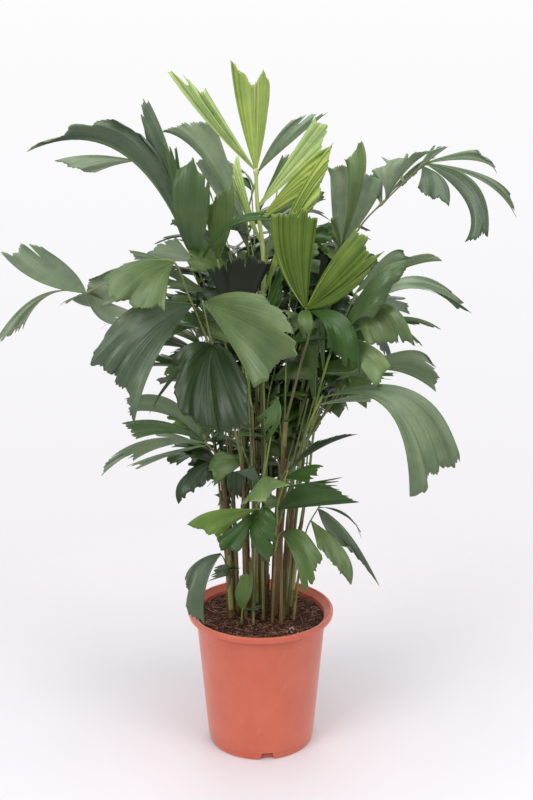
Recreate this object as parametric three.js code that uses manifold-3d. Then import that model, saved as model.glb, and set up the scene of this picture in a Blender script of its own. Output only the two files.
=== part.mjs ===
// A clustering fishtail palm in its nursery pot: a ring of canes, each carrying fronds of wedge-shaped
// leaflets with a ragged outer margin. Millimetres, +Z up, origin at the middle of the pot's underside.
import * as THREE from 'three';
import { mergeVertices } from 'three/addons/utils/BufferGeometryUtils.js';
import Module from 'manifold-3d';

const wasm = await Module();
wasm.setup();

// Driving dimensions of the pot
const potHeight = 234;
const rimRadius = 120;
const footRadius = 87;
const neckRadius = 107.5; // under the rim band
const wall = 2.6;
const rimBand = 10;
const footRing = 13;
const floorTop = 6;
const soilLevel = 222;
const potSides = 36;
const notch = { count: 4, top: 18, bottom: 25, turn: -83 }; // drain notches, turn in degrees

// Driving dimensions of the plant
const clearance = 0.3;
const leafThickness = 1.7;
const leafThicknessShare = 1 / 92; // of the leaflet's length
const leafRoot = 1.2; // half the width of a leaflet where it leaves the stalk
const leafSink = 3.5; // the last leaflet's root lies this far back from the stalk's end
const caneSides = 6;
const stalkSides = 5;
const stalkSteps = 6;
const moreRays = [16, 40, 115]; // widths of margin from which a blade is built finer
const moreRings = [120, 200]; // the same for a leaflet's length
const ragged = { least: 0.02, spread: 0.07 }; // how far the margin is bitten back, in shares of a ray
const usual = { bow: 0.03, fade: 0.5 }; // the arch of a leaflet whose row doesn't give it
const farLeaf = {
  from: 0.5, over: 0.46, // the stretch of the stalk that carries leaflets
  least: 0.8, spread: 0.3, // length, in shares of the frond's leaflet length
  forward: 0.75, rise: 0.25, droop: 0.16, endDroop: 0.3, // which way a leaflet points and hangs
  earAlong: 0.6, earOut: 0.36, lean: 0.6, // where its short edge ends
  bow: 0.11, bulge: 0.06,
};

// The crown is laid out from an eye point in front of the plant. A place is written [x, z, depth]: x and z
// where it is seen on the upright plane through the pot's axis, and how far it lies behind that plane.
const eye = new THREE.Vector3(9.4, -2000, 1146);
const seen = ([x, z, depth]) => eye.clone().lerp(new THREE.Vector3(x, 0, z), 1 - depth / eye.y);
const up = new THREE.Vector3(0, 0, 1);
const chance = (k) => {
  const s = Math.sin(k * 12.9898 + 4.1414) * 43758.5453;
  return s - Math.floor(s);
};

// Canes: foot x, y on the soil, tip x, y, z, radius at foot and tip
const canes = [
  [-50, -20, -60, -14, 455, 7.2, 4.8],
  [-37, 4, -50, 0, 560, 5.6, 4.0],
  [-24, -24, -30, -32, 500, 5.2, 3.8],
  [-21, 12, -32, 15, 600, 6.0, 4.2],
  [-8, -6, -14, -6, 580, 5.4, 3.8],
  [-2, 20, -6, 24, 640, 5.6, 4.0],
  [8, 4, 3, 4, 690, 6.8, 5.0],
  [4, -28, 2, -48, 395, 4.8, 3.6],
  [25, -8, 40, -14, 560, 6.6, 4.6],
  [20, 24, 40, 28, 600, 5.4, 3.8],
  [36, 12, 62, 14, 560, 5.6, 4.0],
  [43, -8, 68, -12, 500, 5.4, 4.0],
  [38, -26, 56, -34, 450, 5.2, 3.8],
  [54, -30, 66, -46, 340, 4.2, 3.2],
  [19, -38, 26, -54, 400, 4.8, 3.6],
  [-12, -42, -6, -56, 430, 4.6, 3.4],
  [-31, -50, -31, -52, 236, 4.6, 3.4],
  [-42, 28, -66, 55, 490, 5.4, 4.0],
  [-20, 40, -26, 70, 540, 5.6, 4.0],
  [4, 44, 8, 80, 580, 5.8, 4.0],
  [28, 42, 46, 70, 500, 5.4, 4.0],
  [50, 24, 80, 44, 450, 5.2, 3.8],
  [-50, 8, -66, 22, 400, 5.2, 3.8],
  [10, 60, 4, 88, 360, 4.8, 3.6],
  [-6, 60, -12, 94, 560, 5.4, 4.0],
  [34, -44, 34, -22, 470, 4.4, 3.2],
  [-12, -22, -13, -24, 520, 5.0, 3.4],
  [10, 31, 18, 46, 520, 4.8, 3.6],
];

// Fronds laid out one leaflet at a time. A path runs on from the cane to the last leaflet. A leaflet is
// [place along the path, tip of the long edge, corner of the short edge, shape]. In its shape, via is the
// point half way along the long edge, side the same for the short edge, bow the arch of a leaflet without via,
// fade how much of the arch the short edge loses, and bulge how far the ragged margin swells.
const fronds = [
  {
    name: 'frond_new', cane: 6, radius: [4.4, 2.6],
    path: [[4, 830, -4], [-4, 895, -5], [-7, 956, -5]],
    leaflets: [
      [1, [-138, 1098, -20], [-82, 1073, -30], { via: [-76, 1020, -16], fade: 0.9 }],
      [1, [-44, 1114, -5], [-8, 1084, 4], { via: [-32, 1037, 0], fade: 1 }],
      [1, [14, 1087, 12], [-7, 1084, 6], { via: [9, 1022, 9], fade: 1, bulge: 0.13 }],
      [0.78, [84, 1034, -25], [100, 985, -35], { bow: 0, bulge: 0.1 }],
      [0.7, [109, 998, -40], [90, 900, -45], { bow: 0.02, bulge: 0.02 }],
      [0.72, [-31, 975, -20], [-42, 938, -25], { via: [-10, 932, -20], fade: 1 }],
    ],
  },
  {
    name: 'frond_top_back', cane: 5, radius: [3.2, 1.8],
    path: [[-16, 800, 42], [-20, 880, 48], [-2, 955, 50]],
    leaflets: [
      [0.7, [-149, 1013, 44], [-70, 1026, 62], { via: [-87, 982, 50], fade: 0.6, bulge: 0.06 }],
      [0.66, [-92, 958, 70], [-48, 968, 80], {}],
      [1, [102, 1039, 60], [48, 1028, 52], { via: [52, 992, 54], side: [15, 1003, 50] }],
      [0.66, [52, 982, 30], [34, 976, 42], {}],
      [0.9, [-60, 965, 150], [-26, 950, 165], { bow: 0.1 }],
      [0.7, [50, 920, 160], [74, 900, 150], { bow: 0.1 }],
    ],
  },
  {
    name: 'frond_pleated', cane: 8, radius: [4.2, 3.0],
    path: [[66, 660, -30], [76, 700, -42], [71, 742, -50]],
    leaflets: [
      [1, [14, 893, -90], [88, 880, -96], { via: [27, 812, -74], bulge: 0.03, fade: 0.9 }],
      [1, [151, 861, -84], [177, 846, -90], { bow: 0 }],
      [1, [188, 828, -88], [152, 786, -95], { bow: 0 }],
      [0.92, [50, 700, -72], [36, 738, -76], {}],
    ],
  },
  {
    name: 'frond_left_high', cane: 3, radius: [3.4, 1.6],
    path: [[-82, 765, 12], [-112, 838, 8], [-150, 925, 14], [-190, 970, 24]],
    leaflets: [
      [0.62, [-352, 980, -50], [-172, 993, -20], { via: [-212, 987, -14], bulge: 0.19, fade: 0.8 }],
      [0.66, [-168, 1058, 0], [-184, 1030, -8], { via: [-133, 965, -4], fade: 0.6, bulge: 0.04 }],
      [0.6, [-127, 988, -28], [-152, 1000, -24], {}],
      [0.56, [-103, 979, -52], [-133, 888, -60], { bulge: 0.02 }],
      [0.56, [-101, 976, -52], [-78, 938, -48], {}],
      [1, [-313, 967, 45], [-226, 962, 26], { via: [-255, 976, 34], fade: 0.8 }],
      [0.52, [24, 872, -66], [12, 889, -62], { via: [-46, 866, -70], fade: 0.1 }],
      [0.55, [-184, 812, 36], [-130, 852, 40], {}],
      [0.42, [-146, 772, 30], [-146, 812, 34], {}],
      [0.72, [-118, 905, 190], [-70, 930, 170], { bow: 0.1 }],
    ],
  },
  {
    name: 'frond_middle', cane: 4, radius: [3.0, 1.8],
    path: [[-38, 720, -16], [-66, 815, -14], [-76, 862, -10]],
    leaflets: [
      [0.84, [-46, 924, -34], [-84, 904, -30], { bulge: 0.06 }],
      [0.45, [6, 804, -30], [-66, 822, -46], { bow: 0.03, bulge: 0.06 }],
      [0.3, [30, 806, -34], [26, 730, -30], { bow: 0.04, bulge: 0.1 }],
      [0.36, [-104, 702, 0], [-96, 762, 8], {}],
    ],
  },
  {
    name: 'frond_left', cane: 1, radius: [3.6, 1.4],
    path: [[-76, 665, -18], [-110, 755, -30], [-138, 815, -32], [-205, 795, -26], [-275, 762, -20]],
    leaflets: [
      [0.64, [-243, 786, -120], [-150, 731, -130], { via: [-192, 815, -84], bulge: 0.12, fade: 0.5 }],
      [1, [-408, 832, -50], [-330, 836, -36], { via: [-350, 785, -32], side: [-290, 799, -26], bulge: 0.04 }],
      [0.84, [-285, 762, -4], [-243, 795, 0], {}],
      [0.94, [-226, 713, 20], [-196, 744, 14], { via: [-266, 738, 10], fade: 0.5, bulge: 0.1 }],
      [1, [-424, 676, 60], [-372, 706, 44], { via: [-347, 747, 30], side: [-326, 747, 26] }],
      [0.47, [-254, 703, -120], [-206, 556, -150], { via: [-184, 747, -112], side: [-170, 656, -126], bulge: 0.1 }],
      [0.33, [-178, 566, -80], [-186, 590, -70], { via: [-140, 618, -60], side: [-150, 624, -56] }],
      [0.66, [-240, 792, 40], [-212, 809, 46], {}],
      [0.68, [-202, 832, 30], [-196, 816, 34], {}],
      [0.98, [-313, 744, 20], [-294, 752, 16], {}],
    ],
  },
  {
    name: 'frond_left_low', cane: 0, radius: [3.6, 2.0],
    path: [[-66, 492, -20], [-90, 522, -34]],
    leaflets: [
      [1, [-222, 551, -60], [-200, 524, -82], { via: [-152, 555, -46], fade: 0.3 }],
      [1, [-258, 464, -86], [-226, 507, -80], { via: [-180, 514, -70], fade: 0.5, bulge: 0.05 }],
      [0.9, [-217, 480, -30], [-200, 475, -36], { via: [-152, 504, -32], fade: 0.3 }],
      [0.8, [-160, 501, 20], [-148, 492, 24], {}],
      [0.55, [-134, 415, -84], [-80, 458, -66], { via: [-128, 460, -66], fade: 0.9, bulge: -0.1 }],
      [0.4, [-100, 560, 40], [-120, 500, 50], { bow: 0.1 }],
    ],
  },
  {
    name: 'frond_front', cane: 2, radius: [3.6, 2.2],
    path: [[-58, 620, -56], [-78, 690, -74], [-90, 752, -84]],
    leaflets: [
      [1, [-8, 612, -200], [10, 766, -160], { via: [-47, 685, -156], side: [-42, 766, -136], bulge: 0.26 }],
      [0.74, [-62, 530, -170], [-150, 652, -140], { via: [-78, 606, -142], side: [-116, 682, -116], bulge: 0.04 }],
      [0.74, [-61, 531, -172], [-22, 634, -152], { via: [-76, 606, -144], side: [-46, 668, -122], bulge: 0.06 }],
    ],
  },
  {
    name: 'frond_centre', cane: 15, radius: [2.4, 1.6],
    path: [[8, 480, -66], [18, 540, -72], [28, 596, -76]],
    leaflets: [
      [1, [10, 521, -112], [-6, 562, -105], { via: [32, 560, -96], fade: 1 }],
      [0.3, [-32, 413, -112], [45, 453, -118], {}],
    ],
  },
  {
    name: 'frond_skirt', cane: 7, radius: [2.6, 1.8],
    path: [[1, 404, -60], [-12, 406, -72]],
    leaflets: [
      [1, [-122, 378, -90], [-82, 363, -96], { via: [-66, 404, -80], fade: 0.6 }],
      [0.8, [-80, 350, -108], [-38, 327, -112], { bow: 0.08, bulge: 0.1 }],
      [0.3, [23, 306, -112], [-20, 348, -104], { via: [23, 366, -96], bulge: 0.06, fade: 0.6 }],
    ],
  },
  {
    name: 'frond_rim', cane: 0, level: 0.3, radius: [2.0, 1.3],
    path: [[-60, 318, -44], [-67, 330, -66]],
    leaflets: [
      [1, [-94, 203, -108], [-117, 296, -92], { via: [-90, 272, -98], side: [-98, 320, -84], bulge: 0.06 }],
      [0.5, [-88, 283, -62], [-80, 303, -60], {}],
      [0.3, [-34, 302, -62], [-42, 309, -58], {}],
    ],
  },
  {
    name: 'frond_sprout', cane: 16, radius: [2.4, 1.6],
    path: [[-31, 226, -54], [-30, 232, -55]],
    leaflets: [
      [1, [-15, 303, -58], [-40, 276, -50], { via: [-14, 264, -62], side: [-42, 250, -54], bulge: 0.04 }],
      [1, [14, 241, -66], [0, 228, -64], {}],
    ],
  },
  {
    name: 'frond_right_high', cane: 10, radius: [3.4, 1.6],
    path: [[112, 745, 12], [150, 862, 4], [195, 912, 2], [252, 966, 0]],
    leaflets: [
      [0.8, [252, 982, -24], [152, 941, -20], { bow: 0.01, bulge: 0.02 }],
      [0.8, [250, 958, 20], [214, 924, 22], { bow: 0.02 }],
      [0.95, [284, 989, 16], [262, 991, 20], {}],
      [1, [359, 946, 8], [318, 962, -6], { via: [300, 978, 2] }],
      [1, [386, 902, 60], [374, 914, 52], { via: [321, 946, 32], fade: 0.1 }],
      [1, [353, 848, -70], [313, 847, -62], { via: [330, 931, -46], side: [314, 905, -40], bulge: 0.03 }],
      [0.98, [286, 898, -50], [240, 927, -44], { via: [282, 936, -26], bulge: 0.06, fade: 0.9 }],
      [0.9, [182, 971, 40], [212, 966, 46], {}],
      [0.8, [154, 942, 50], [178, 952, 46], { bow: 0 }],
      [0.8, [205, 962, 120], [176, 944, 120], { bow: 0.1 }],
    ],
  },
  {
    name: 'frond_right_back', cane: 9, radius: [3.2, 1.8],
    path: [[84, 740, 34], [112, 800, 36], [126, 838, 36]],
    leaflets: [
      [1, [151, 999, 30], [126, 930, 34], { via: [154, 920, 28], fade: 0.5, bulge: 0.03 }],
      [0.96, [134, 954, 62], [108, 880, 66], {}],
      [1, [172, 938, 12], [152, 930, 14], {}],
      [0.9, [132, 963, 100], [105, 951, 110], {}],
      [0.98, [95, 868, 0], [119, 890, -4], {}],
      [0.5, [108, 832, 10], [84, 838, 20], {}],
      [0.86, [158, 822, 120], [110, 850, 110], { bow: 0.12 }],
    ],
  },
  {
    name: 'frond_right', cane: 11, radius: [3.6, 2.0],
    path: [[106, 655, -18], [126, 712, -26], [150, 768, -26]],
    leaflets: [
      [1, [283, 814, -34], [216, 826, -22], { via: [224, 801, -24], side: [174, 812, -22] }],
      [0.72, [330, 728, -84], [222, 798, -60], { via: [216, 771, -70], side: [158, 774, -50] }],
      [0.74, [243, 681, -130], [168, 680, -126], { via: [194, 748, -104], bulge: -0.08, fade: 0.6 }],
      [0.7, [281, 702, -6], [250, 707, 0], { via: [208, 724, -8], fade: 0.6 }],
      [0.74, [184, 612, -112], [207, 650, -104], { via: [145, 662, -90], side: [178, 678, -90] }],
      [0.4, [278, 609, -20], [204, 668, -14], { via: [192, 647, -16], side: [150, 652, -14], bulge: 0.2 }],
      [0.5, [218, 636, -66], [210, 624, -62], {}],
      [0.3, [96, 735, 10], [58, 700, 24], {}],
      [0.5, [88, 706, -4], [102, 750, 0], {}],
    ],
  },
  {
    name: 'frond_broad', cane: 12, radius: [3.6, 2.4],
    path: [[74, 540, -46], [98, 598, -54]],
    leaflets: [
      [1, [239, 431, -176], [326, 506, -160], { via: [203, 585, -140], bulge: 0.06, fade: 0.1 }],
      [0.9, [196, 600, -70], [176, 588, -84], { bow: 0.06 }],
    ],
  },
  {
    name: 'frond_right_low', cane: 14, radius: [2.8, 1.8],
    path: [[28, 416, -58], [36, 446, -62], [44, 474, -64]],
    leaflets: [
      [1, [156, 534, -70], [88, 521, -60], { via: [96, 511, -62], fade: 0.7 }],
      [0.86, [102, 480, -110], [80, 450, -116], { via: [74, 481, -90], bulge: 0.02, fade: 0.9 }],
      [0.7, [133, 462, -86], [124, 447, -88], {}],
      [0.28, [160, 418, -130], [114, 446, -120], { via: [90, 412, -96], side: [66, 449, -90] }],
    ],
  },
  {
    name: 'frond_small', cane: 13, radius: [2.2, 1.4],
    path: [[76, 374, -48], [96, 413, -52]],
    leaflets: [
      [1, [162, 361, -46], [154, 378, -42], { via: [138, 400, -46], side: [128, 400, -46] }],
      [0.94, [195, 272, -96], [104, 368, -84], { via: [150, 354, -78], side: [89, 394, -66], bulge: -0.5 }],
      [0.7, [153, 267, -128], [96, 341, -118], { via: [139, 331, -112], side: [88, 364, -90], bulge: -0.05 }],
    ],
  },
  {
    name: 'frond_low', cane: 14, level: 0.74, radius: [2.2, 1.6],
    path: [[30, 362, -66], [36, 368, -72]],
    leaflets: [
      [1, [68, 257, -128], [98, 342, -120], { via: [57, 312, -112], side: [70, 368, -98], bulge: -0.03 }],
    ],
  },
  {
    name: 'frond_inner', cane: 24, radius: [3.2, 1.8],
    path: [[0, 640, 104], [10, 710, 108], [16, 760, 110]],
    leaflets: [
      [1, [-26, 792, 110], [8, 804, 116], {}],
      [0.9, [74, 806, 96], [56, 770, 100], {}],
      [0.8, [-78, 742, 82], [-48, 700, 90], {}],
      [0.7, [100, 712, 80], [70, 664, 84], {}],
      [0.5, [-66, 640, 120], [-40, 590, 124], {}],
      [0.4, [66, 640, 62], [44, 566, 66], {}],
    ],
  },
];

// Fronds the front doesn't show, grown by one rule: bearing in degrees from +X, rise and reach of the stalk
// from the cane's tip, sag at its end, leaflet pairs, leaflet length
const farFronds = [
  { name: 'frond_far_1', cane: 17, bearing: 128, rise: 200, reach: 140, sag: 20, pairs: 2, leaf: 125 },
  { name: 'frond_far_2', cane: 18, bearing: 106, rise: 280, reach: 170, sag: 30, pairs: 3, leaf: 130 },
  { name: 'frond_far_3', cane: 19, bearing: 56, rise: 264, reach: 156, sag: 10, pairs: 3, leaf: 112 },
  { name: 'frond_far_4', cane: 20, bearing: 36, rise: 230, reach: 150, sag: 40, pairs: 3, leaf: 130 },
  { name: 'frond_far_5', cane: 21, bearing: 66, rise: 150, reach: 110, sag: 20, pairs: 2, leaf: 105 },
  { name: 'frond_far_6', cane: 22, bearing: 102, rise: 120, reach: 110, sag: 20, pairs: 2, leaf: 85 },
  { name: 'frond_far_7', cane: 23, bearing: 90, rise: 110, reach: 130, sag: 30, pairs: 2, leaf: 85 },
  { name: 'frond_far_8', cane: 20, level: 0.6, bearing: 88, rise: 190, reach: 200, sag: 50, pairs: 2, leaf: 130 },
];

// A tapering round stem: a unit cylinder whose rings are moved onto the curve.
function stem(curve, foot, tip, sides, steps, extra = 0) {
  const geometry = new THREE.CylinderGeometry(1, 1, 1, sides, steps);
  geometry.deleteAttribute('normal');
  geometry.deleteAttribute('uv');
  const merged = mergeVertices(geometry, 1e-5);
  const place = merged.getAttribute('position');
  for (let i = 0; i < place.count; i++) {
    const t = place.getY(i) + 0.5;
    const along = curve.getTangentAt(t);
    const side = new THREE.Vector3(0, 1, 0).cross(along).normalize();
    const front = along.clone().cross(side);
    const radius = THREE.MathUtils.lerp(foot, tip, t) + extra;
    const p = curve.getPointAt(t)
      .addScaledVector(side, place.getZ(i) * radius)
      .addScaledVector(front, place.getX(i) * radius);
    place.setXYZ(i, p.x, p.y, p.z);
  }
  return merged;
}

// The point of a leaflet's middle surface on ray a (0 long edge, 1 short edge) at share u of its length.
function leafPoint(leaf, a, u, notchDepth = 0) {
  const { base, tip, ear, longArch, shortArch, bulge } = leaf;
  const long = tip.clone().sub(base);
  const short = ear.clone().sub(base);
  const spread = long.angleTo(short);
  const ray = long.clone().normalize().multiplyScalar(Math.sin((1 - a) * spread))
    .addScaledVector(short.clone().normalize(), Math.sin(a * spread)).normalize();
  const swell = 1 + bulge * Math.sin(Math.PI * a);
  const length = THREE.MathUtils.lerp(long.length(), short.length(), a) * swell * (1 - notchDepth);
  const margin = base.clone().addScaledVector(ray, length);
  const bend = longArch.clone().lerp(shortArch, a).multiplyScalar(2);
  const middle = base.clone().add(margin).multiplyScalar(0.5).add(bend);
  const root = base.clone().addScaledVector(long.sub(short).normalize(), leafRoot * (1 - 2 * a));
  return root.multiplyScalar((1 - u) ** 2)
    .addScaledVector(middle, 2 * u * (1 - u))
    .addScaledVector(margin, u * u);
}

// A leaflet's closed blade: two skins of rays and rings, and a rim between them.
function blade(leaf, extra = 0) {
  const reach = leaf.tip.distanceTo(leaf.base);
  const margin = leaf.tip.distanceTo(leaf.ear);
  const rays = 1 + moreRays.filter((least) => margin > least).length;
  const rings = 2 + moreRings.filter((least) => reach > least).length;
  const thick = Math.max(leafThickness, reach * leafThicknessShare) / 2 + extra;
  const skins = [[], []];
  for (let i = 0; i <= rays; i++) {
    for (let j = 0; j <= rings; j++) {
      const inner = i > 0 && i < rays;
      const tooth = inner ? ragged.least + ragged.spread * chance(leaf.seed + i) : 0;
      const a = i / rays;
      const u = j / rings;
      const p = leafPoint(leaf, a, u, j === rings ? tooth : 0);
      const du = leafPoint(leaf, a, Math.min(u + 0.05, 1)).sub(leafPoint(leaf, a, Math.min(u + 0.05, 1) - 0.1));
      const b = THREE.MathUtils.clamp(a, 0.05, 0.95);
      const v = Math.max(u, 0.15);
      const da = leafPoint(leaf, b + 0.05, v).sub(leafPoint(leaf, b - 0.05, v));
      const normal = du.cross(da).normalize();
      const outward = du.lengthSq() && extra ? leafPoint(leaf, a, 1).sub(leaf.base).normalize() : null;
      if (outward) p.addScaledVector(outward, u * extra);
      skins[0].push(p.clone().addScaledVector(normal, thick));
      skins[1].push(p.clone().addScaledVector(normal, -thick));
    }
  }
  const across = rings + 1;
  const count = (rays + 1) * across;
  const at = (skin, i, j) => skin * count + i * across + j;
  const index = [];
  const quad = (p, q, r, s) => index.push(p, q, r, p, r, s);
  for (let i = 0; i < rays; i++) {
    for (let j = 0; j < rings; j++) {
      quad(at(0, i, j), at(0, i, j + 1), at(0, i + 1, j + 1), at(0, i + 1, j));
      quad(at(1, i, j), at(1, i + 1, j), at(1, i + 1, j + 1), at(1, i, j + 1));
    }
    quad(at(0, i, rings), at(1, i, rings), at(1, i + 1, rings), at(0, i + 1, rings));
    quad(at(0, i, 0), at(0, i + 1, 0), at(1, i + 1, 0), at(1, i, 0));
  }
  for (let j = 0; j < rings; j++) {
    quad(at(0, 0, j), at(1, 0, j), at(1, 0, j + 1), at(0, 0, j + 1));
    quad(at(0, rays, j), at(0, rays, j + 1), at(1, rays, j + 1), at(1, rays, j));
  }
  const geometry = new THREE.BufferGeometry();
  const places = skins.flat().flatMap((p) => p.toArray());
  geometry.setAttribute('position', new THREE.Float32BufferAttribute(places, 3));
  geometry.setIndex(index);
  return geometry;
}

function solidOf(geometry) {
  const vertProperties = Float32Array.from(geometry.getAttribute('position').array);
  const triVerts = Uint32Array.from(geometry.getIndex().array);
  return new wasm.Manifold(new wasm.Mesh({ numProp: 3, vertProperties, triVerts }));
}

function geometryOf(solid) {
  const mesh = solid.getMesh();
  const geometry = new THREE.BufferGeometry();
  geometry.setAttribute('position', new THREE.Float32BufferAttribute(mesh.vertProperties, 3));
  geometry.setIndex(Array.from(mesh.triVerts));
  return geometry;
}

const joined = (solids) => solids.reduce((whole, next) => whole.add(next));

// The whole piece that holds most of the solid, without scraps that a cut left loose.
function mainPiece(solid) {
  return solid.decompose().reduce((best, next) => (next.volume() > best.volume() ? next : best));
}

function lathe(profile) {
  const points = profile.map(([r, z]) => new THREE.Vector2(r, z));
  const geometry = new THREE.LatheGeometry(points, potSides);
  geometry.rotateX(Math.PI / 2);
  geometry.deleteAttribute('normal');
  geometry.deleteAttribute('uv');
  return mergeVertices(geometry, 1e-4);
}

function caneCurve([footX, footY, tipX, tipY, tipZ]) {
  const foot = new THREE.Vector3(footX, footY, soilLevel + clearance);
  const tip = new THREE.Vector3(tipX, tipY, tipZ);
  const middle = foot.clone().lerp(tip, 0.5);
  middle.x = THREE.MathUtils.lerp(footX, tipX, 0.3);
  middle.y = THREE.MathUtils.lerp(footY, tipY, 0.3);
  return new THREE.QuadraticBezierCurve3(foot, middle, tip);
}

// A stem's foot stays flat on the soil whatever the cane's lean.
function caneSolid(row, extra = 0) {
  const [, , , , , foot, tip] = row;
  const geometry = stem(caneCurve(row), foot, tip, caneSides, 4, extra);
  const place = geometry.getAttribute('position');
  for (let i = 0; i < place.count; i++) {
    if (place.getZ(i) < soilLevel + foot) place.setZ(i, soilLevel + clearance - extra);
  }
  return solidOf(geometry);
}

function frondStart(frond) {
  const curve = caneCurve(canes[frond.cane]);
  return curve.getPointAt(frond.level ?? 1);
}

function leafOf(base, tip, ear, shape, seed) {
  const long = tip.clone().sub(base);
  const normal = long.clone().cross(ear.clone().sub(base)).normalize();
  if (normal.z < 0) normal.negate();
  const archOf = (point, end) => point.clone().sub(base.clone().add(end).multiplyScalar(0.5));
  const plainArch = normal.multiplyScalar((shape.bow ?? usual.bow) * long.length());
  const longArch = shape.via ? archOf(shape.via, tip) : plainArch;
  const kept = 1 - (shape.fade ?? usual.fade);
  const shortArch = shape.side ? archOf(shape.side, ear) : longArch.clone().multiplyScalar(kept);
  return { base, tip, ear, longArch, shortArch, bulge: shape.bulge ?? 0, seed };
}

// Where a leaflet leaves a stalk that is built of straight steps.
function stalkPoint(curve, t) {
  const step = Math.min(Math.floor(t * stalkSteps), stalkSteps - 1);
  const next = curve.getPointAt((step + 1) / stalkSteps);
  return curve.getPointAt(step / stalkSteps).lerp(next, t * stalkSteps - step);
}

function laidFrond(frond, seed) {
  const curve = new THREE.CatmullRomCurve3([frondStart(frond), ...frond.path.map(seen)], false, 'centripetal');
  const last = 1 - leafSink / curve.getLength();
  const leaves = frond.leaflets.map(([t, tip, ear, shape], i) => {
    const via = shape.via && seen(shape.via);
    const side = shape.side && seen(shape.side);
    const base = stalkPoint(curve, Math.min(t, last));
    return leafOf(base, seen(tip), seen(ear), { ...shape, via, side }, seed + 7 * i);
  });
  return { ...frond, curve, leaves };
}

function grownFrond(frond, seed) {
  const start = frondStart(frond);
  const angle = THREE.MathUtils.degToRad(frond.bearing);
  const out = new THREE.Vector3(Math.cos(angle), Math.sin(angle), 0);
  const at = (share, lift) => start.clone().addScaledVector(out, frond.reach * share).addScaledVector(up, lift);
  const { rise, sag } = frond;
  const points = [start, at(0.2, rise * 0.5), at(0.6, rise * 0.95), at(1, rise - sag)];
  const curve = new THREE.CatmullRomCurve3(points, false, 'centripetal');
  const leaves = [];
  const count = 2 * frond.pairs + 1;
  for (let i = 0; i < count; i++) {
    const last = i === count - 1;
    const t = last ? 1 - leafSink / curve.getLength() : farLeaf.from + (farLeaf.over * i) / (count - 1);
    const base = stalkPoint(curve, t);
    const along = curve.getTangentAt(t);
    const side = along.clone().cross(up).normalize().multiplyScalar(i % 2 ? 1 : -1);
    const lift = farLeaf.rise * (1 - 2 * chance(seed + i));
    const length = frond.leaf * (farLeaf.least + farLeaf.spread * chance(seed + 31 + i));
    const way = last
      ? along.clone().addScaledVector(up, -farLeaf.endDroop).normalize()
      : along.clone().multiplyScalar(farLeaf.forward).add(side).addScaledVector(up, lift).normalize();
    const cross = way.clone().cross(last ? side : up).normalize();
    const across = last ? side : way.clone().cross(cross).normalize();
    const lean = farLeaf.lean * (2 * chance(seed + 61 + i) - 1);
    const edge = (last ? across : cross.clone().multiplyScalar(i % 2 ? -1 : 1)).clone()
      .addScaledVector(up, lean).normalize();
    const tip = base.clone().addScaledVector(way, length).addScaledVector(up, -farLeaf.droop * length);
    const ear = base.clone().addScaledVector(way, farLeaf.earAlong * length)
      .addScaledVector(edge, farLeaf.earOut * length);
    leaves.push(leafOf(base, tip, ear, farLeaf, seed + 7 * i));
  }
  return { radius: [3.0, 1.6], ...frond, curve, leaves };
}

function frondSolid(frond, extra = 0) {
  const [foot, tip] = frond.radius;
  const stalk = solidOf(stem(frond.curve, foot, tip, stalkSides, stalkSteps, extra));
  return joined([stalk, ...frond.leaves.map((leaf) => solidOf(blade(leaf, extra)))]);
}

const potProfile = [
  [0, 0], [30, 0], [32, 3], [76, 3], [78, 0], [footRadius - 1, 0], [footRadius, 1], [footRadius, footRing],
  [footRadius + 2.4, footRing + 0.8], [neckRadius, potHeight - rimBand - 2],
  [neckRadius + 2, potHeight - rimBand],
  [rimRadius - 1, potHeight - rimBand], [rimRadius, potHeight - rimBand + 1.4], [rimRadius, potHeight - 1.4],
  [rimRadius - 1.4, potHeight], [rimRadius - 3.4, potHeight], [rimRadius - 4.6, potHeight - 1.6],
  [neckRadius - wall + 1, potHeight - rimBand], [neckRadius - wall, potHeight - rimBand - 4],
  [footRadius - wall + 1, floorTop + 3], [footRadius - wall - 4, floorTop], [0, floorTop],
];

// The soil fills the pot, the same gap from its floor and wall.
const soilProfile = [
  [0, floorTop + clearance], [footRadius - wall - 4.2, floorTop + clearance],
  [footRadius - wall + 0.6, floorTop + 3.3],
  [neckRadius - wall - 0.4, potHeight - rimBand - 4], [neckRadius - wall - 0.2, soilLevel], [0, soilLevel],
];

function notchCutter(index) {
  const outline = new THREE.Shape([
    new THREE.Vector2(-notch.bottom / 2, -1), new THREE.Vector2(notch.bottom / 2, -1),
    new THREE.Vector2(notch.top / 2, footRing - 1.5), new THREE.Vector2(-notch.top / 2, footRing - 1.5),
  ]);
  const cutter = new THREE.ExtrudeGeometry(outline, { depth: 8, bevelEnabled: false });
  cutter.rotateX(Math.PI / 2);
  cutter.translate(0, footRadius + 3, 0);
  cutter.rotateZ(THREE.MathUtils.degToRad(notch.turn - 90 + (360 / notch.count) * index));
  cutter.deleteAttribute('normal');
  cutter.deleteAttribute('uv');
  return solidOf(mergeVertices(cutter, 1e-4));
}

function makePot() {
  let pot = solidOf(lathe(potProfile));
  for (let i = 0; i < notch.count; i++) pot = pot.subtract(notchCutter(i));
  return pot;
}

const palm = new THREE.Group();
const finish = {
  pot: new THREE.MeshStandardMaterial({ color: '#d9694e', roughness: 0.45, metalness: 0 }),
  soil: new THREE.MeshStandardMaterial({ color: '#3b2620', roughness: 1, metalness: 0 }),
  cane: new THREE.MeshStandardMaterial({ color: '#8f9a55', roughness: 0.6, metalness: 0 }),
  leaf: new THREE.MeshStandardMaterial({ color: '#3f6437', roughness: 0.5, metalness: 0 }),
  newLeaf: new THREE.MeshStandardMaterial({ color: '#93b04a', roughness: 0.5, metalness: 0 }),
};

function addNode(name, solid, material) {
  const mesh = new THREE.Mesh(geometryOf(solid), material);
  mesh.name = name;
  palm.add(mesh);
}

addNode('pot', makePot(), finish.pot);
addNode('soil', solidOf(lathe(soilProfile)), finish.soil);

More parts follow.
